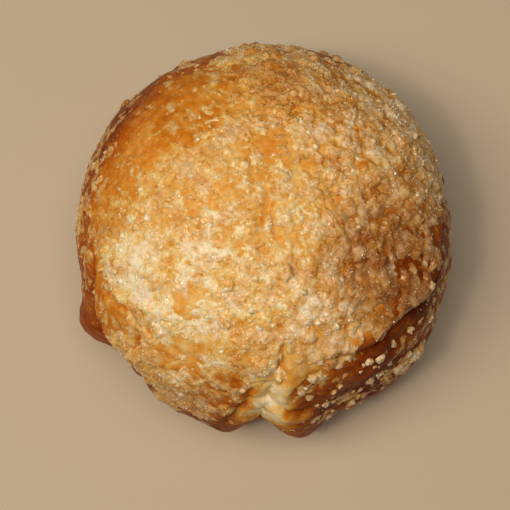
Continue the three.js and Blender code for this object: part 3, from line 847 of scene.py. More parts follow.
@dataclass(frozen=True)
class BakedSugar:
    """Coarse baking sugar after the oven: clear to cream sucrose, stained by the glaze where it melted.

    Sieved and not ground, so a loose grain keeps flat faces that flash. A melted one is round and satin
    under a clear wet skin, in which small faces flash here and there.
    """

    name: str
    roughness: float
    grit: float = 0.01  # height in millimetres of the fine unevenness on a melted grain
    grit_size: float = 0.45  # millimetres across
    shine: float = 0.16  # gloss under the wet faces
    wet: float = 0.8  # how much of it has clear, wet faces
    face_size: float = 0.5  # millimetres across a face
    face_tilt: float = 0.9  # how far a face may be turned; 0 is not at all
    honey_tones: tuple[tuple[float, str], ...] = (
        (0.0, "#c8811f"), (0.25, "#dfa13f"), (0.5, "#e8bb66"), (0.75, "#efd497"), (1.0, "#f9ecca"))
    pink_tones: tuple[tuple[float, str], ...] = (
        (0.0, "#b47228"), (0.25, "#cc9448"), (0.5, "#dcae70"), (0.75, "#e8c897"), (1.0, "#f6e5cc"))
    caramel: str = "#8a420c"  # where it melted over dough that the oven browned
    painted_shade_colour: str = "#c6a988"  # painted shade on the right side, away from the key light: what it leaves of the colours
    glow: tuple[float, float, float] = (0.75, 0.42, 0.16)  # how far red, green and blue light run inside it

    def material(self) -> bpy.types.Material:
        """Build the material; a grain's tone comes from where it lies and from its own number.

        Returns:
            The material.
        """
        made, tree = blank_material(self.name)
        place = add_node(tree, "ShaderNodeTexCoord").outputs["Object"]
        noise = add_node(tree, "ShaderNodeTexNoise", links={
            "Vector": place, "Scale": 1 / (self.grit_size * MILLIMETRE), "Detail": 3.0}).outputs["Fac"]
        rough = add_node(tree, "ShaderNodeMath", {"operation": "MULTIPLY_ADD", "use_clamp": True},
                         {0: noise, 1: 0.5, 2: self.roughness - 0.25}).outputs[0]
        bump = add_node(tree, "ShaderNodeBump", links={
            "Height": noise, "Distance": self.grit * MILLIMETRE, "Strength": 0.8}).outputs["Normal"]
        surface = add_node(tree, "ShaderNodeBsdfPrincipled", links={
            "Base Color": self.add_colour(tree, noise), "Roughness": rough, "Normal": bump, "IOR": 1.5,
            "Specular IOR Level": self.shine, "Subsurface Weight": 0.5, "Subsurface Scale": 1.0,
            "Subsurface Radius": [reach * MILLIMETRE for reach in self.glow],
            "Coat Weight": self.wet, "Coat Roughness": 0.16, "Coat IOR": 1.5,
            "Coat Normal": self.add_faces(tree, place, bump)})
        add_node(tree, "ShaderNodeOutputMaterial", links={"Surface": surface.outputs["BSDF"]})
        return made

    def add_colour(self, tree: Tree, noise: Socket) -> Socket:
        """Add the colour: a tone on the way from honey or beige to white, then the glaze's stain and the
        painted shade on the right side.

        Args:
            tree: The material's tree.
            noise: Fine unevenness from 0 to 1.

        Returns:
            The colour.
        """
        tone, cream, pink, stain, tint = (
            add_node(tree, "ShaderNodeAttribute", {"attribute_name": name}).outputs["Fac"]
            for name in ("tone", "cream", "pink", "stain", "tint"))
        value = cream
        for part, amount in ((tone, 0.40), (noise, 0.6)):
            value = add_node(tree, "ShaderNodeMath", {"operation": "MULTIPLY_ADD"},
                             {0: part, 1: amount, 2: value}).outputs[0]
        value = add_node(tree, "ShaderNodeMath", {"operation": "SUBTRACT", "use_clamp": True},
                         {0: value, 1: 0.48}).outputs[0]
        warm = add_node(tree, "ShaderNodeValToRGB", links={"Fac": value})
        set_stops(warm, self.honey_tones)
        rosy = add_node(tree, "ShaderNodeValToRGB", links={"Fac": value})
        set_stops(rosy, self.pink_tones)
        colour = warm.outputs["Color"]
        # the multiply darkens the colour by painted shade on the right side
        for share, blend, over in ((pink, "MIX", rosy.outputs["Color"]), (stain, "MIX", linear(self.caramel)),
                                   (tint, "MULTIPLY", linear(self.painted_shade_colour))):
            colour = add_node(tree, "ShaderNodeMix", {"data_type": "RGBA", "blend_type": blend},
                              {"Factor": share, 6: colour, 7: over}).outputs[2]
        return colour

    def add_faces(self, tree: Tree, place: Socket, bump: Socket) -> Socket:
        """Add small faces, each tilted its own way, so that here and there one flashes like a wet crystal.

        Args:
            tree: The material's tree.
            place: Object coordinates.
            bump: The normal that the faces are tilted from.

        Returns:
            The faces' normal.
        """
        cells = add_node(tree, "ShaderNodeTexVoronoi", {"feature": "F1"}, {
            "Vector": place, "Scale": 1 / (self.face_size * MILLIMETRE)}).outputs["Color"]
        tilt = add_node(tree, "ShaderNodeVectorMath", {"operation": "SUBTRACT"},
                        {0: cells, 1: (0.5, 0.5, 0.5)}).outputs[0]
        tilted = add_node(tree, "ShaderNodeVectorMath", {"operation": "MULTIPLY_ADD"},
                          {0: tilt, 1: (self.face_tilt,) * 3, 2: bump}).outputs[0]
        return add_node(tree, "ShaderNodeVectorMath", {"operation": "NORMALIZE"}, {0: tilted}).outputs[0]


@dataclass(frozen=True)
class PalePaint:
    """Matt emulsion paint on a smooth board, with a very slight roller texture."""

    name: str = "matt_emulsion_pale"
    colour: str = "#c6bba8"

    def material(self) -> bpy.types.Material:
        """Build the floor's material.

        Returns:
            The material.
        """
        made, tree = blank_material(self.name)
        place = add_node(tree, "ShaderNodeTexCoord").outputs["Object"]
        grain = add_node(tree, "ShaderNodeTexNoise", links={"Vector": place, "Scale": 900.0, "Detail": 2.0})
        bump = add_node(tree, "ShaderNodeBump", links={
            "Height": grain.outputs["Fac"], "Strength": 0.05, "Distance": 0.0002})
        surface = add_node(tree, "ShaderNodeBsdfPrincipled", links={
            "Base Color": linear(self.colour), "Roughness": 0.85, "Normal": bump.outputs["Normal"]})
        add_node(tree, "ShaderNodeOutputMaterial", links={"Surface": surface.outputs["BSDF"]})
        return made


# ---- Pieces --------------------------------------------------------------------------------------


@dataclass(frozen=True)
class OvenMarks:
    """How far the oven browned each place, darkened further by painted shade down the sides and on the right
    side, and where the dough stayed raw inside a fold.
    """

    shape: DoughShape
    bakes_and_shades: tuple[Patch, ...] = BAKE_AND_SHADE_PATCHES
    raws: tuple[Patch, ...] = RAW_PATCHES
    # polar angles between which the bake comes to a new amount, and that amount: the sides go darker than the
    # crown, partly real browning and partly painted shade where the sides turn from the light
    side_bake_and_shade_rings: tuple[tuple[float, float, float], ...] = (
        (42, 76, 0.64), (78, 92, 0.78), (98, 115, 0.64), (125, 150, 0.54))
    crown: float = 0.31  # how far the crown is baked
    raw_bake: float = 0.03  # how far raw dough is baked
    raw_edge: float = 2.2  # how steep the edges of the raw patches are
    bake_edge: float = 3  # and those of the baked ones
    uneven: Swell = Swell(24, 0.10, 1.5, 6.0, 61)  # how far the wash ran on to raw dough, or missed it

    def rawness(self, d: Array) -> Array:
        """Work out how raw the dough stayed.

        Args:
            d: Unit directions, one a row.

        Returns:
            The rawness in each direction, from 0 to 1.
        """
        raw = np.zeros(len(d))
        for patch in self.raws:
            raw = np.maximum(raw, patch.amount * self.shape.patch_weight(d, patch, self.raw_edge))
        uneven = self.uneven.over(d * self.shape.arc)
        return np.clip(raw * (1 + uneven) + uneven * ramp(raw, 0.05, 0.4), 0, 1)

    def browning_and_shade(self, d: Array) -> Array:
        """Work out how far the skin is baked, with its painted shade down the sides and on the right side.

        Args:
            d: Unit directions, one a row.

        Returns:
            The bake in each direction, from 0 to 1.
        """
        polar = polar_of(d)
        bake = np.full(len(d), self.crown)
        for start, end, amount in self.side_bake_and_shade_rings:
            bake = mix(bake, amount, ramp(polar, start, end))
        for patch in self.bakes_and_shades:
            bake = mix(bake, patch.amount, self.shape.patch_weight(d, patch, self.bake_edge))
        return mix(bake, self.raw_bake, self.rawness(d))


@dataclass(frozen=True)
class Nuggets:
    """Blocky, rounded bodies packed side by side over the ball: grains, or clumps of grains."""

    area: float  # square millimetres for each
    size: tuple[float, float]  # smallest and largest radius in millimetres
    squareness: float  # 2 would make them round, and more makes them blocks
    scatter: float  # how far a middle lies from its even place, in millimetres
    neighbours: int  # how many of the nearest bodies are looked at for each place
    seed: int
    below: float = 2  # degrees under the crust's lowest place that the bodies reach
    smallness: float = 1.5  # more makes small bodies more common

    def relief(self, at: Array, reach: float, lowest: float) -> tuple[Array, Array]:
        """Work out the relief of the bodies.

        Args:
            at: Places on a ball in millimetres, one a row.
            reach: The ball's radius.
            lowest: Polar angle of the lowest body in degrees.

        Returns:
            The relief, from 1 on the largest body's top down past 0 at its edge, and each place's body.
        """
        cap = 2 * math.pi * reach ** 2
        count = int(cap * (1 - math.cos(math.radians(lowest))) / self.area)
        n = np.arange(count)
        up = 1 - (n + 0.5) * self.area / cap
        around = np.radians(GOLDEN_ANGLE * n)
        flat = np.sqrt(1 - up ** 2)
        sites = np.stack([flat * np.cos(around), flat * np.sin(around), up], axis=1) * reach
        s = self.seed
        sites += self.scatter * (draw_rows(n, (s, s + 1, s + 2)) - 0.5)
        radius = mix(*self.size, draw(n, s + 3) ** self.smallness)
        first, spare = (unit(draw_rows(n, (s + 4 + i, s + 7 + i, s + 10 + i)) - 0.5) for i in range(2))
        second = unit(np.cross(first, spare))
        axes = (first, second, np.cross(first, second))
        tree = kdtree.KDTree(count)
        for i, site in enumerate(sites):
            tree.insert(site, i)
        tree.balance()
        nearest = np.array([[k for _, k, _ in tree.find_n(place, self.neighbours)] for place in at])
        best, owner = np.full(len(at), -1.0), nearest[:, 0].copy()
        for k in nearest.T:
            away = at - sites[k]
            size = sum(np.abs((away * axis[k]).sum(axis=1)) ** self.squareness for axis in axes)
            value = 1 - (size ** (1 / self.squareness) / radius[k]) ** 2
            value *= (radius[k] / self.size[1]) ** 0.5
            owner = np.where(value > best, k, owner)
            best = np.maximum(best, value)
        return best, owner


@dataclass(frozen=True)
class BigLumps:
    """Where the biggest lumps of sugar stuck, which are the solid model's lumps too."""

    shape: DoughShape
    tries: int = 400
    polar: float = 102  # of the lowest try
    azimuth_scatter: float = 14  # degrees
    polar_scatter: float = 4  # degrees
    wide: tuple[float, float] = (3.0, 5.6)  # smallest and largest width in millimetres
    high: float = 0.42  # height of a lump for its width, before it is sunk in the skin
    sunk: float = 0.3  # share of its height
    keep: float = 0.62  # share of the tries that stick where sugar covers all
    blunt: float = 3  # more makes its top flatter
    steep: float = 0.7  # less makes its side steeper
    uneven: Swell = Swell(20, 0.14, 2.0, 4.5, 101)  # of a lump's outline, for its width
    seed: int = 31

    def places(self) -> tuple[Array, Array]:
        """Work out where the lumps stick.

        Returns:
            The lumps' directions and their widths in millimetres.
        """
        n = np.arange(self.tries)
        up = 1 - (n + 0.5) / self.tries * (1 - math.cos(math.radians(self.polar)))
        azimuth = GOLDEN_ANGLE * n + self.azimuth_scatter * (draw(n, self.seed) - 0.5)
        polar = np.degrees(np.arccos(up)) + self.polar_scatter * (draw(n, self.seed + 1) - 0.5)
        d = direction(azimuth, polar)
        share = self.shape.sugar_share(d)
        kept = draw(n, self.seed + 2) <= share * self.keep
        return d[kept], mix(*self.wide, share * draw(n, self.seed + 3))[kept]

    def domes(self, at: Array) -> Array:
        """Work out how high the lumps stand over the skin.

        Args:
            at: Places on the ball in millimetres, one a row.

        Returns:
            Their height at each place in millimetres.
        """
        d, wide = self.places()
        uneven = 1 + self.uneven.over(at)
        total = np.zeros(len(at))
        for centre, width in zip(d * self.shape.arc, wide):
            away = np.linalg.norm(at - centre, axis=1) * uneven / (width / 2)
            near = away < 1
            top = width * self.high * (1 - self.sunk)
            total[near] = np.maximum(total[near], top * (1 - away[near] ** self.blunt) ** self.steep)
        return total


@dataclass(frozen=True)
class SugarTones:
    """What the oven and the glaze did to the sugar, and the light and shade painted into it: amounts from 0
    to 1 that its finish reads.

    The relief, the bed and the clumps are those of the crust, and count as 1 at their highest.
    """

    cream: float = 0.45  # how far the sugar is on the way from honey or beige to white
    clouds: Swell = Swell(30, 0.09, 3.5, 9, 131)
    loose: float = 0.3  # how much of a clump's own tone shows where the sugar lies loose
    clump_spread: float = 0.34  # how far one clump may differ from the next
    clump_top: float = 0.75  # how much paler its top is, and with clump_range how much darker the gaps between clumps: partly the sugar's own tone, partly painted light on the tops and painted shade in the gaps
    clump_range: tuple[float, float] = (-0.5, 0.25)
    clumped: float = 0.09  # how much darker clumped sugar is than loose sugar
    gap: tuple[float, float] = (0.42, 0.55)  # painted shade: how much darker and more golden the gaps between grains are, like light glowing through the sugar, and under which relief
    sparse: tuple[float, float] = (0.14, 0.4)  # how much darker a thin bed is, and under which thickness
    # thinness of the melted sugar: its start, and what the bed, the relief and the clumps take from it
    thinness: tuple[float, float, float, float] = (0.55, 0.5, 0.3, 0.9)
    stained_from: float = 0.44  # bake of the dough from which it stains the sugar
    stained_over: float = 0.42  # and how much more bake stains it in full
    stain_thick: float = 0.15  # share of the stain that thick sugar takes
    pink: float = 0.45  # how beige rather than honey clumped sugar is
    pink_spread: float = 0.5  # how far one clump may differ from the next
    pink_clouds: Swell = Swell(20, 0.25, 5, 12, 133)
    painted_shade_clouds: Swell = Swell(24, 0.35, 3, 7, 137)
    stray_cream: float = 0.78  # paleness of a single grain
    stray_clean: float = 0.88  # share of the stain that a single grain is spared
    stray_edge: tuple[float, float] = (0.1, 0.5)  # heights between which a single grain takes over
    grain_seed: int = 132
    clump_seed: int = 171
    # where the sugar is paler or darker
    creams: tuple[Patch, ...] = patches(
        (203, 50, 9, 0.30), (221.6, 29, 7, 0.30), (249, 37, 8, 0.22), (198, 40, 8, 0.10), (214, 41, 5, -0.16),
        (231, 42, 6, -0.08), (258, 46, 7, -0.12), (272, 41, 7, 0.10), (287, 35, 7, 0.24), (298, 44, 7, 0.16),
        (137, 20, 9, 0.08), (127.7, 29, 7, 0.08), (155, 20, 6, -0.16), (219, 17, 7, 0.16), (243, 57, 6, 0.14),
        (232, 41, 5, 0.10), (270, 22, 8, 0.12), (320, 16, 8, 0.14),
        (239.6, 84, 12, -0.12), (269.6, 59, 6, 0.30), (3, 38, 10, -0.08), (324, 45, 11, -0.08),
        (345, 54, 15, -0.02), (180, 58, 7, -0.16), (45, 64, 14, 0.14), (88, 46, 10, -0.26),
        (66, 46, 12, -0.12), (20, 44, 10, 0.04),
        (222, 45, 9, 0.30), (240, 52, 9, 0.30), (238, 66, 7, 0.14), (252, 66, 7, -0.10), (256, 80, 9, -0.14),
        (170, 15, 9, 0.14),
        (20, 12, 10, 0.08), (8, 45, 8, -0.06))
    # painted shade: where the sugar is darkened on the right side, away from the key light
    painted_shade_patches: tuple[Patch, ...] = patches(
        (338, 45, 15, 0.85), (326, 28, 7, 0.45), (352, 63, 11, 0.8), (332, 62, 9, 0.9), (6, 50, 9, 0.3))


@dataclass(frozen=True)
class Lay:
    """How the crust lies in some directions, one value a direction in each array."""

    d: Array  # unit directions, one a row
    height: Array  # over the skin in millimetres
    bed: Array  # how thickly the sugar lies, from -1 for none to 1
    relief: Array  # of the grains, from 1 at their tops
    grain: Array  # numbers of the grains
    clump: Array  # relief of the clumps
    clumped: Array  # how much the clumps count
    pile: Array  # numbers of the clumps


@dataclass
class SugarCrust:
    """Sugar that half melted into one crust: rounded grains side by side, in clumps with gaps between."""

    shape: DoughShape
    oven: OvenMarks
    lumps: BigLumps
    finish: BakedSugar
    tones: SugarTones = SugarTones()
    parts: int = 55  # coarse parts of an icosahedron's edge
    fineness: int = 3  # parts that a coarse one is divided into on the crust's top
    lowest: float = 110  # polar angle under which there is no crust
    grain: Nuggets = Nuggets(0.78, (0.42, 0.84), 3.0, 0.6, 5, 111)
    clump: Nuggets = Nuggets(9.5, (1.4, 2.8), 2.6, 2.0, 4, 151, below=4)
    grain_rise: float = 0.40  # millimetres from a grain's edge to its top
    clump_rise: float = 0.58  # millimetres that a clump stands higher
    clump_bed: float = 0.7  # how much of a clump's relief goes into the bed
    clump_loss: float = 0.10  # and what the bed loses where the sugar lies in clumps
    thick: float = 0.30  # millimetres that the bed adds where it is 1
    bed_rise: float = 2.0  # how fast the bed grows with the share of sugar
    bed_waves: tuple[Swell, ...] = (Swell(36, 0.78, 4.5, 10, 41), Swell(48, 0.60, 1.8, 4.0, 45))
    groove_bare: float = 0.9  # share of the sugar that a groove loses
    base: float = 0.12  # how far the crust's level lies under the skin where the bed is 0
    raw_drop: float = 0.5  # how much deeper it lies on raw dough
    dome_sunk: float = 0.15  # how far lumps and single grains are sunk in the skin
    deepest_top: float = -0.6  # lowest place of the crust's top under the skin
    depth: float = 2.6  # how far the crust's underside lies in the dough
    shown: float = -0.10  # height over the skin above which the crust counts as showing
    least_share: float = 0.02  # share of sugar under which a place has none
    # the export thins a piece of more than 200,000 triangles by itself
    most_faces: int = 190_000  # the most triangles that the crust keeps
    clumping: float = 0.3  # how far the sugar lies in clumps, outside the patches
    clumped: tuple[Patch, ...] = patches(
        (24.8, 50, 24, 0.8), (345, 48, 20, 0.8), (305, 46, 16, 0.65), (75, 50, 16, 0.6), (245, 80, 14, 0.4))
    strays: tuple[tuple[float, float, float], ...] = (  # single grains: azimuth, polar angle and width
        (285.7, 61, 2.6), (281.8, 66.1, 2.2), (283.7, 70.5, 1.9), (291.5, 72.3, 1.5), (296.7, 89.9, 2.2),
        (288.8, 79.9, 2.2), (289.3, 93, 2.1), (305.5, 65, 2.4), (307.7, 80.1, 2.1), (303.9, 79.8, 2.3),
        (308.9, 67.2, 2.4), (299.8, 58.2, 2.0), (295.8, 59.8, 1.9), (289.9, 55.2, 1.7), (330.8, 79.5, 2.0),
        (335.8, 75.9, 1.8), (336.8, 61.8, 2.4), (294.1, 69.7, 1.4), (300.3, 83.8, 1.6), (315.8, 68.9, 2.0),
        (323.3, 71.5, 1.8), (313.5, 86.5, 2.6), (320.5, 88, 2.4), (318.3, 83.5, 2.2))
    stray_rise: float = 0.36  # height of a single grain for its width
    stray_waves: Swell = Swell(20, 0.16, 1.2, 3.0, 106)  # of its outline, for its width
    made: bpy.types.Object | None = None
    fields: dict[str, Array] = field(default_factory=dict)

    def stray_heights(self, at: Array) -> Array:
        """Work out how high the single grains stand over the skin.

        Args:
            at: Places on the ball in millimetres, one a row.

        Returns:
            Their height at each place in millimetres.
        """
        uneven = 1 + self.stray_waves.over(at)
        total = np.zeros(len(at))
        for azimuth, polar, width in self.strays:
            centre = direction(azimuth, polar) * self.shape.arc
            away = np.linalg.norm(at - centre, axis=1) * uneven / (width / 2)
            total = np.maximum(total, self.stray_rise * width * np.clip(1 - away ** 4, 0, 1) ** 0.5)
        return total

    def clumps(self, d: Array) -> tuple[Array, Array, Array]:
        """Work out how the sugar lies in clumps.

        Args:
            d: Unit directions, one a row.

        Returns:
            The relief of the clumps, how much it counts, and the clump's number for each direction.
        """
        arc = self.shape.arc
        relief, owner = self.clump.relief(d * arc, arc, self.lowest + self.clump.below)
        weight = self.shape.add_patches(np.full(len(d), self.clumping), d, self.clumped)
        return np.clip(relief, -0.6, 1), np.clip(weight, 0, 1), owner

    def bed(self, d: Array) -> Array:
        """Work out how thickly the sugar lies.

        Args:
            d: Unit directions, one a row.

        Returns:
            The thickness in each direction, from -1 for none to 1.
        """
        at = d * self.shape.arc
        uneven = sum(wave.over(at) for wave in self.bed_waves)
        # the share of the waves that lie lower than each place, so that a share of sugar covers that share
        level = 1 / (1 + np.exp(-1.702 * uneven))
        share = self.shape.sugar_share(d)
        groove = self.shape.fold_heights(d)[1]
        share = share * (1.1 + 0.1 * ramp(share, 0.2, 0.5)) * (1 - self.groove_bare * groove)
        relief, weight, _ = self.clumps(d)
        pile = weight * (self.clump_bed * relief - self.clump_loss) * ramp(share, 0.05, 0.3)
        return np.clip((share - level) * self.bed_rise + pile, -1, 1)

    def lay(self, d: Array) -> Lay:
        """Work out how the crust lies over the skin.

        Args:
            d: Unit directions, one a row.

        Returns:
            How it lies in each of them.
        """
        at = d * self.shape.arc
        bed = self.bed(d)
        relief, owner = self.grain.relief(at, self.shape.arc, self.lowest + self.grain.below)
        clump, weight, pile = self.clumps(d)
        dome = np.maximum(self.lumps.domes(at), self.stray_heights(at))
        grains = np.clip(relief, -0.4, 1) * self.grain_rise
        clump_top = weight * self.clump_rise * np.clip(clump, 0, 1) * ramp(bed, -0.4, 0.4)
        flat = bed * self.thick + grains + clump_top - self.base - self.raw_drop * self.oven.rawness(d)
        domed = (dome > 0) * (dome + grains - self.dome_sunk) - (dome <= 0)
        return Lay(d, np.maximum(flat, domed), bed, relief, owner, clump, weight, pile)

    def cells(self) -> tuple[Array, Array]:
        """Divide the ball into triangular cells where sugar may lie, each with a grid of points.

        Returns:
            The unit directions of the points, and for each cell the numbers of its points.
        """
        ball, coarse = geodesic(self.parts)
        middle = unit(ball[coarse].mean(axis=1))
        sugared = self.shape.sugar_share(middle) > self.least_share
        sugared |= self.stray_heights(middle * self.shape.arc) > 0
        coarse = coarse[(polar_of(middle) < self.lowest) & sugared]
        rows = triangle_grid(self.fineness)[0]
        weights = np.array(rows, float) / self.fineness
        a, b, c = (ball[coarse[:, k]][:, None] for k in range(3))
        points = unit((a + weights[:, :1] * (b - a) + weights[:, 1:] * (c - a)).reshape(-1, 3))
        d, number = merge_points(points)
        return d, number.reshape(-1, len(rows))

    def shell(self, cells: Array, lower: int) -> Array:
        """Close some cells to a shell: their fine top, their coarse underside and the walls round them.

        Args:
            cells: For each cell the numbers of its points.
            lower: How many points the top has; those of the underside come after them.

        Returns:
            The shell's triangles.
        """
        n = self.fineness
        _, number, patch = triangle_grid(n)
        corner = cells[:, [number[0, 0], number[n, 0], number[0, n]]]
        edges = [[number[i, 0] for i in range(n + 1)], [number[n - i, i] for i in range(n + 1)],
                 [number[0, n - i] for i in range(n + 1)]]
        starts = np.concatenate([corner[:, 0], corner[:, 1], corner[:, 2]])
        ends = np.concatenate([corner[:, 1], corner[:, 2], corner[:, 0]])
        pairs = set(zip(starts.tolist(), ends.tolist()))
        walls = []
        for side in edges:
            for p in cells[:, side].tolist():
                if (p[n], p[0]) not in pairs:
                    walls += [(p[i + 1], p[i], p[0] + lower) for i in range(n)]
                    walls.append((p[n], p[0] + lower, p[n] + lower))
        return np.concatenate([cells[:, patch].reshape(-1, 3), corner[:, ::-1] + lower, np.array(walls)])

    def cream(self, lay: Lay) -> Array:
        """Work out how pale the sugar is, from its clumps, gaps and patches, with painted shade in the gaps
        and painted light on the clumps' tops.

        Args:
            lay: How the crust lies.

        Returns:
            The paleness at each place, before the single grains.
        """
        tones = self.tones
        cream = tones.cream + tones.clouds.over(lay.d * self.shape.arc)
        cream = self.shape.add_patches(cream, lay.d, tones.creams)
        own = tones.clump_spread * (draw(lay.pile, tones.clump_seed) - 0.5)
        # paler clump tops and darker gaps between clumps: partly the sugar's own tone, partly painted light
        # and shade
        own = own + tones.clump_top * np.clip(lay.clump, *tones.clump_range)
        cream += mix(tones.loose, 1, lay.clumped) * own - tones.clumped * lay.clumped
        # painted shade in the gaps between grains, coloured like light glowing through the sugar
        gap = tones.gap[0] * np.clip(tones.gap[1] - lay.relief, 0, 1)
        cream -= gap + tones.sparse[0] * np.clip(tones.sparse[1] - lay.bed, 0, 1)
        return cream

    def stain(self, lay: Lay) -> Array:
        """Work out how much caramel shows through the sugar: most where it melted thin over brown dough.

        Args:
            lay: How the crust lies.

        Returns:
            The stain at each place, before the single grains.
        """
        tones = self.tones
        start, bed, relief, clump = tones.thinness
        mound = clump * lay.clumped * np.clip(lay.clump, -0.5, 0.5)
        thin = np.clip(start - bed * lay.bed - relief * lay.relief - mound, 0, 1)
        brown = np.clip((self.oven.browning_and_shade(lay.d) - tones.stained_from) / tones.stained_over, 0, 1)
        return brown * (tones.stain_thick + (1 - tones.stain_thick) * thin)

    def values(self, lay: Lay) -> dict[str, Array]:
        """Work out the attributes that the finish and the scattered grains read.

        Args:
            lay: How the crust lies.

        Returns:
            One number for each place under each attribute's name.
        """
        tones = self.tones
        at = lay.d * self.shape.arc
        stray = ramp(self.stray_heights(at), *tones.stray_edge)
        # painted shade on the right side, away from the key light; single grains are spared
        tint = np.zeros(len(at))
        for patch in tones.painted_shade_patches:
            tint = np.maximum(tint, patch.amount * self.shape.patch_weight(lay.d, patch))
        tint = np.clip(tint * (1 + tones.painted_shade_clouds.over(at)), 0, 1) * (1 - stray)
        pink = mix(0.0, tones.pink, lay.clumped) + tones.pink_clouds.over(at)
        pink = pink + tones.pink_spread * (draw(lay.pile, tones.clump_seed + 1) - 0.3)
        pink = np.clip(pink + lay.clumped * np.clip(lay.clump, -0.5, 0.5) + stray, 0, 1)
        density = np.clip((lay.height - 0.05) * 5, 0, 1) * mix(1, ramp(lay.clump, -0.3, 0.3), lay.clumped)
        return {"cream": mix(self.cream(lay), tones.stray_cream, stray),
                "tone": draw(lay.grain, tones.grain_seed),
                "stain": self.stain(lay) * (1 - tones.stray_clean * stray),
                "tint": tint, "pink": pink, "density": density}

    def build(self) -> bpy.types.Object:
        """Build the crust as a closed shell whose underside lies hidden in the dough.

        Returns:
            The crust's object.
        """
        d, cells = self.cells()
        lay = self.lay(d)
        cells = cells[(lay.height[cells] > self.shown).any(axis=1)]
        radius = self.shape.radius(d)[0]
        top = self.shape.place(d, radius + np.maximum(lay.height, self.deepest_top))
        under = self.shape.place(d, radius - self.depth)
        used, renumbered = np.unique(self.shell(cells, len(d)), return_inverse=True)
        points = np.concatenate([top, under])[used]
        faces = renumbered.reshape(-1, 3)
        self.made = make_object("sugar_crust", points, faces, smooth=True)
        self.fields = {name: np.concatenate([value, value])[used] for name, value in self.values(lay).items()}
        self.fields["density"] = self.fields["density"] * (used < len(d))
        for name, value in self.fields.items():
            add_attribute(self.made, name, value)
        self.fields |= {"points": points, "faces": faces}
        self.thin()
        return self.made

    def thin(self) -> None:
        """Merge the crust's flattest triangles until it has few enough."""
        modifier = self.made.modifiers.new("thin", "DECIMATE")
        modifier.ratio = self.most_faces / len(self.made.data.polygons)
        ready = self.made.evaluated_get(bpy.context.evaluated_depsgraph_get())
        full = self.made.data
        self.made.data = bpy.data.meshes.new_from_object(ready)
        self.made.modifiers.clear()
        bpy.data.meshes.remove(full)
        self.made.data.name = self.made.name

    def dress(self) -> None:
        """Give the crust its finish."""
        self.made.data.materials.append(self.finish.material())


@dataclass
class DoughSkin:
    """The pastry: its skin with the folds, the blisters of the bake and the pressed underside."""

    shape: DoughShape
    oven: OvenMarks
    crust: SugarCrust
    finish: BakedDough
    frequency: int = 96  # parts of an icosahedron's edge
    crowding: float = 0.12  # how much closer the mesh's points lie at the top than at the bottom
    blisters: Swell = Swell(24, 0.09, 1.8, 5.0, 11)  # low unevenness of the baked dough
    blistered: tuple[float, float] = (115, 125)  # polar angles over which the blisters end
    groove_painted_shade: float = 0.16  # painted shade: how much darker a groove is painted
    glaze: float = 0.85  # how much of the honey glaze shows beside the sugar
    glazed: tuple[float, float] = (-0.9, 0.3)  # thickness of the bed over which it begins
    burnt: tuple[float, float] = (0.5, 0.72)  # bake over which it is lost again
    burnt_share: float = 0.85  # share of it that is lost
    grains_from: tuple[float, float] = (14, 30)  # heights in millimetres over which loose grains begin
    strewn: float = 0.16  # share of the loose grains on bare dough that lie outside the spills
    spills: tuple[Patch, ...] = patches(
        (300, 80, 16, 0.45), (330, 64, 8, 0.4), (75, 45, 14, 0.7), (120, 35, 12, 0.3))
    made: bpy.types.Object | None = None
    fields: dict[str, Array] = field(default_factory=dict)

    def build(self) -> bpy.types.Object:
        """Build the skin's mesh with the attributes that its finish reads.

        Returns:
            The skin's object.
        """
        ball, faces = geodesic(self.frequency)
        polar = np.radians(polar_of(ball))
        d = direction(azimuth_of(ball), np.degrees(polar - self.crowding * np.sin(polar)))
        radius, groove = self.shape.radius(d)
        start, end = self.blistered
        rough = self.blisters.over(d * self.shape.arc) * ramp(-polar_of(d), -end, -start)
        points = self.shape.place(d, radius + rough)
        raw, bed = self.oven.rawness(d), self.crust.bed(d)
        # painted shade makes the grooves darker
        bake = self.oven.browning_and_shade(d) + self.groove_painted_shade * groove * (1 - raw)
        glaze = ramp(bed, *self.glazed) * (1 - raw) * (1 - self.burnt_share * ramp(bake, *self.burnt))
        self.fields = {"bake": bake, "raw": raw, "glaze": self.glaze * glaze}
        self.made = make_object("pastry_skin", points, faces, smooth=True)
        for name, value in self.fields.items():
            add_attribute(self.made, name, value)
        spilt = np.full(len(d), self.strewn)
        for patch in self.spills:
            spilt = spilt + (1 - self.strewn) * patch.amount * self.shape.patch_weight(d, patch)
        bare = (bed < 0) * ramp(points[:, 2], *self.grains_from) * (1 - raw) * np.clip(spilt, 0, 1)
        self.fields |= {"points": points, "faces": faces, "density": bare}
        return self.made

    def dress(self) -> None:
        """Give the skin its finish."""
        self.made.data.materials.append(self.finish.material())


class GrainKind(Enum):
    """Sieve sizes of the loose sugar: name, corners of a crystal, size range, number of the first crystal."""

    FINE = ("sugar_fine", 10, 0.4, 0.75, 0)
    COARSE = ("sugar_coarse", 20, 1.2, 2.0, 20)


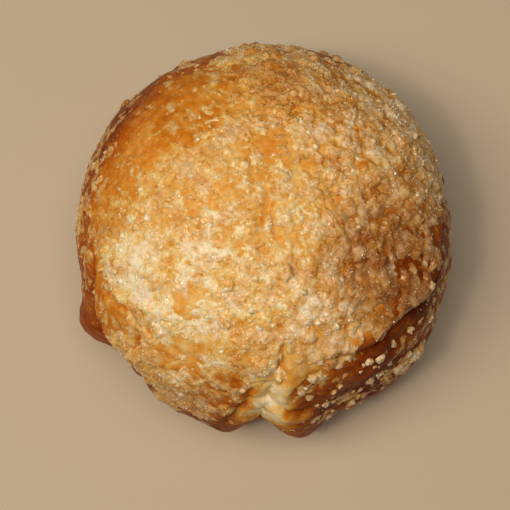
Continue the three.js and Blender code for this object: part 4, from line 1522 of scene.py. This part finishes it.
@dataclass
class SugarGrains:
    """Crystals of one sieve size, scattered over the crust and the bare dough by Geometry Nodes."""

    kind: GrainKind
    skin: DoughSkin
    crust: SugarCrust
    finish: bpy.types.Material
    on_crust: float  # grains for each square millimetre of crust
    on_dough: float  # grains for each square millimetre of bare dough
    sunk: float = 0.15  # millimetres that a grain's middle lies under the surface
    variants: int = 6  # crystals of different shape
    most_corners: int = 40  # numbers set aside for the corners of each crystal
    corner_seed: int = 91
    squareness: float = 0.5  # less draws a crystal's corners nearer to those of a box
    wide: float = 0.86  # width of a crystal for its length
    flat: tuple[float, float] = (0.68, 0.2)  # least thickness for its length, and how much more it may be
    # a grain's value on bare dough, and the share and the rise of the crust's value that it takes there; the
    # rise in cream makes grains paler than the crust, partly their own paleness and partly painted highlight
    # standing in for glints
    tones: tuple[tuple[str, float, float, float], ...] = (
        ("cream", 0.55, 1, 0.24), ("pink", 0.7, 1, 0), ("stain", 0.1, 1, 0), ("tint", 0.0, 0.8, 0))
    seed: int = 3
    made: bpy.types.Object | None = None

    def crystal(self, number: int) -> bpy.types.Object:
        """Make one crystal as the hull of some corners drawn in a box.

        Args:
            number: Which variant it is.

        Returns:
            The crystal's object, 1 mm across and not in the scene's main collection.
        """
        n = np.arange(self.kind.value[1]) + self.most_corners * number
        s = self.corner_seed
        raw = draw_rows(n, (s, s + 1, s + 2)) * 2 - 1
        raw = np.sign(raw) * np.abs(raw) ** self.squareness
        raw *= (1, self.wide, self.flat[0] + self.flat[1] * float(draw(number, s + 3)))
        mesh = bpy.data.meshes.new(f"crystal_{number}")
        work = bmesh.new()
        for corner in raw * 0.5 * MILLIMETRE:
            work.verts.new(corner)
        hull = bmesh.ops.convex_hull(work, input=work.verts)
        inside = hull["geom_unused"] + hull["geom_interior"]
        unused = {corner for corner in inside if isinstance(corner, bmesh.types.BMVert)}
        bmesh.ops.delete(work, geom=list(unused), context="VERTS")
        bmesh.ops.recalc_face_normals(work, faces=work.faces)
        work.to_mesh(mesh)
        work.free()
        return bpy.data.objects.new(mesh.name, mesh)

    def tree(self, crystals: bpy.types.Collection) -> Tree:
        """Build the Geometry Nodes tree that scatters the crystals.

        Args:
            crystals: The collection of crystal variants.

        Returns:
            The tree, with inputs for the density, the sizes and the seed.
        """
        tree = bpy.data.node_groups.new(self.kind.value[0] + "_scatter", "GeometryNodeTree")
        face = tree.interface
        face.new_socket("Geometry", in_out="INPUT", socket_type="NodeSocketGeometry")
        for name in ("Smallest", "Largest", "Sunk"):
            face.new_socket(name, in_out="INPUT", socket_type="NodeSocketFloat")
        face.new_socket("Seed", in_out="INPUT", socket_type="NodeSocketInt")
        face.new_socket("Geometry", in_out="OUTPUT", socket_type="NodeSocketGeometry")
        given = add_node(tree, "NodeGroupInput").outputs
        density = add_node(tree, "GeometryNodeInputNamedAttribute", {"data_type": "FLOAT"},
                           {"Name": "density"}).outputs["Attribute"]
        spread = add_node(tree, "GeometryNodeDistributePointsOnFaces", {"distribute_method": "RANDOM"},
                          {"Mesh": given["Geometry"], "Density": density, "Seed": given["Seed"]})
        drop = add_node(tree, "ShaderNodeVectorMath", {"operation": "SCALE"},
                        {0: spread.outputs["Normal"], "Scale": given["Sunk"]}).outputs[0]
        lowered = add_node(tree, "GeometryNodeSetPosition", links={
            "Geometry": spread.outputs["Points"], "Offset": drop}).outputs[0]
        kinds = add_node(tree, "GeometryNodeCollectionInfo", links={
            "Collection": crystals, "Separate Children": True, "Reset Children": True})
        which = add_node(tree, "FunctionNodeRandomValue", {"data_type": "INT"},
                         {4: 0, 5: self.variants - 1, "Seed": 11})
        spin = add_node(tree, "FunctionNodeRandomValue", {"data_type": "FLOAT_VECTOR"},
                        {0: (0.0,) * 3, 1: (6.28,) * 3, "Seed": 12})
        size = add_node(tree, "FunctionNodeRandomValue", {"data_type": "FLOAT"},
                        {2: given["Smallest"], 3: given["Largest"], "Seed": 13})
        grains = add_node(tree, "GeometryNodeInstanceOnPoints", links={
            "Points": lowered, "Instance": kinds.outputs[0], "Pick Instance": True,
            "Instance Index": which.outputs[2], "Rotation": spin.outputs[0], "Scale": size.outputs[1]})
        tone = add_node(tree, "FunctionNodeRandomValue", {"data_type": "FLOAT"}, {2: 0.0, 3: 1.0, "Seed": 14})
        named = add_node(tree, "GeometryNodeStoreNamedAttribute", {
            "data_type": "FLOAT", "domain": "INSTANCE"}, {
            "Geometry": grains.outputs[0], "Name": "tone", "Value": tone.outputs[1]})
        real = add_node(tree, "GeometryNodeRealizeInstances", links={"Geometry": named.outputs[0]})
        dressed = add_node(tree, "GeometryNodeSetMaterial", links={
            "Geometry": real.outputs[0], "Material": self.finish})
        add_node(tree, "NodeGroupOutput", links={0: dressed.outputs[0]})
        return tree

    def ground(self) -> bpy.types.Object:
        """Join the skin and the crust into one mesh with the grains' density in grains a square metre.

        Returns:
            An object for the scatter alone.
        """
        skin, crust = self.skin.fields, self.crust.fields
        count = len(skin["points"])
        density = [skin["density"] * self.on_dough, crust["density"] * self.on_crust]
        made = make_object(self.kind.value[0] + "_ground", np.concatenate([skin["points"], crust["points"]]),
                           np.concatenate([skin["faces"], crust["faces"] + count]), smooth=False)
        add_attribute(made, "density", np.concatenate(density) * PER_SQUARE_METRE)
        # the cream's rise is partly painted highlight standing in for the grains' glints
        for name, bare, share, rise in self.tones:
            add_attribute(made, name, np.concatenate([np.full(count, bare), share * crust[name] + rise]))
        return made

    def build(self) -> bpy.types.Object:
        """Scatter the crystals and turn the result into a plain mesh.

        Returns:
            The grains' object.
        """
        name, _, smallest, largest, first = self.kind.value
        crystals = bpy.data.collections.new(name + "_crystals")
        bpy.context.scene.collection.children.link(crystals)
        for i in range(self.variants):
            crystals.objects.link(self.crystal(first + i))
        ground = self.ground()
        modifier = ground.modifiers.new("scatter", "NODES")
        modifier.node_group = self.tree(crystals)
        values = {"Smallest": smallest, "Largest": largest, "Sunk": -self.sunk * MILLIMETRE,
                  "Seed": self.seed}
        for item in modifier.node_group.interface.items_tree:
            if item.in_out == "INPUT" and item.name in values:
                modifier[item.identifier] = values[item.name]
        ready = ground.evaluated_get(bpy.context.evaluated_depsgraph_get())
        mesh = bpy.data.meshes.new_from_object(ready)
        mesh.name = name
        shade(mesh, self.kind is GrainKind.COARSE)
        ground.modifiers.clear()
        bpy.data.objects.remove(ground)
        for crystal in list(crystals.objects):
            bpy.data.objects.remove(crystal)
        bpy.data.collections.remove(crystals)
        self.made = bpy.data.objects.new(name, mesh)
        bpy.context.scene.collection.objects.link(self.made)
        return self.made


# ---- Studio --------------------------------------------------------------------------------------


@dataclass(frozen=True)
class Lamp:
    """A square area light: its place and size in metres, its power in watts and its sRGB hex colour."""

    name: str
    place: tuple[float, float, float]
    size: float
    power: float
    colour: str


@dataclass
class Studio:
    """A pale floor, soft lights and the camera at the photograph's angle."""

    finish: PalePaint
    elevation: float = 80.0  # degrees over the table
    distance: float = 0.40  # metres from the camera to its target
    target: tuple[float, float, float] = (-0.00255, -0.006, 0.034)
    field_width: float = 0.13025  # metres that the view is wide at the target
    sensor: float = 36.0
    floor_half: float = 1500.0  # millimetres
    floor_top: float = -0.15  # millimetres, so that the underside doesn't share its plane
    aim: tuple[float, float, float] = (0, 0, 0.03)  # where the lamps point, in metres
    # a key light from the left, a small lamp for the sugar's glints, and a soft top light
    lamps: tuple[Lamp, ...] = (
        Lamp("key", (-0.33, -0.07, 0.76), 0.34, 2.9, "#ffebd0"),
        Lamp("lamp", (-0.22, -0.16, 0.80), 0.07, 0.85, "#ffedd6"),
        Lamp("top", (0.0, -0.02, 1.0), 0.5, 3.5, "#fff1de"))
    surround: str = "#f2eee8"
    surround_strength: float = 0.05

    def build_floor(self) -> bpy.types.Object:
        """Lay the floor just under the dumpling.

        Returns:
            The floor's object.
        """
        half, low = self.floor_half, self.floor_top
        corners = np.array([(-half, -half, low), (half, -half, low), (half, half, low), (-half, half, low)])
        floor = make_object("studio_floor", corners, np.array([(0, 1, 2), (0, 2, 3)]), smooth=False)
        floor.data.materials.append(self.finish.material())
        return floor

    def add_lamp(self, lamp: Lamp) -> None:
        """Add one light, turned to the dumpling.

        Args:
            lamp: The light.
        """
        data = bpy.data.lights.new(lamp.name, "AREA")
        data.shape = "SQUARE"
        data.size = lamp.size
        data.energy = lamp.power
        data.color = linear(lamp.colour)[:3]
        light = bpy.data.objects.new(lamp.name, data)
        light.location = lamp.place
        light.rotation_euler = (Vector(lamp.place) - Vector(self.aim)).to_track_quat("Z", "Y").to_euler()
        bpy.context.scene.collection.objects.link(light)

    def build_lights(self) -> None:
        """Set up the lamps and a dim surround."""
        for lamp in self.lamps:
            self.add_lamp(lamp)
        world = bpy.data.worlds.new("surround")
        world.use_nodes = True
        background = world.node_tree.nodes["Background"]
        background.inputs["Color"].default_value = linear(self.surround)
        background.inputs["Strength"].default_value = self.surround_strength
        bpy.context.scene.world = world
        bpy.context.scene.view_settings.view_transform = "Standard"

    def build_camera(self) -> None:
        """Set the camera above the front edge, looking down."""
        e = math.radians(self.elevation)
        back = Vector((0, -math.cos(e), math.sin(e)))
        right = Vector((1, 0, 0))
        data = bpy.data.cameras.new("camera")
        data.sensor_width = self.sensor
        data.lens = self.sensor * self.distance / self.field_width
        data.clip_start = 0.01
        camera = bpy.data.objects.new("camera", data)
        turned = Matrix((right, back.cross(right), back)).transposed().to_4x4()
        camera.matrix_world = Matrix.Translation(Vector(self.target) + back * self.distance) @ turned
        bpy.context.scene.collection.objects.link(camera)
        bpy.context.scene.camera = camera


def report(piece: bpy.types.Object) -> None:
    """Log a piece's name and number of faces."""
    LOG.info("%s: %d faces", piece.name, len(piece.data.polygons))


def main() -> None:
    """Build the dumpling piece by piece, then the studio round it."""
    logging.basicConfig(level=logging.INFO, format="%(name)s: %(message)s")
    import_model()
    shape = DoughShape()
    oven = OvenMarks(shape)
    crust = SugarCrust(shape, oven, BigLumps(shape), BakedSugar("coarse_sugar_melted", 0.42, grit=0.10))
    skin = DoughSkin(shape, oven, crust, BakedDough())
    crystal = BakedSugar("coarse_sugar_crystals", 0.20, shine=0.6).material()
    crust.build()
    crust.dress()
    skin.build()
    skin.dress()
    fine = SugarGrains(GrainKind.FINE, skin, crust, crystal, on_crust=0.72, on_dough=0.035,
                       sunk=0.06, seed=3)
    coarse = SugarGrains(GrainKind.COARSE, skin, crust, crystal, on_crust=0.008, on_dough=0.03,
                         sunk=0.3, seed=9)
    fine.build()
    coarse.build()
    for piece in (skin.made, crust.made, fine.made, coarse.made):
        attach(piece, "root")
        report(piece)
    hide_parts("pastry")
    studio = Studio(PalePaint())
    studio.build_floor()
    studio.build_lights()
    studio.build_camera()


if __name__ == "__main__":
    main()
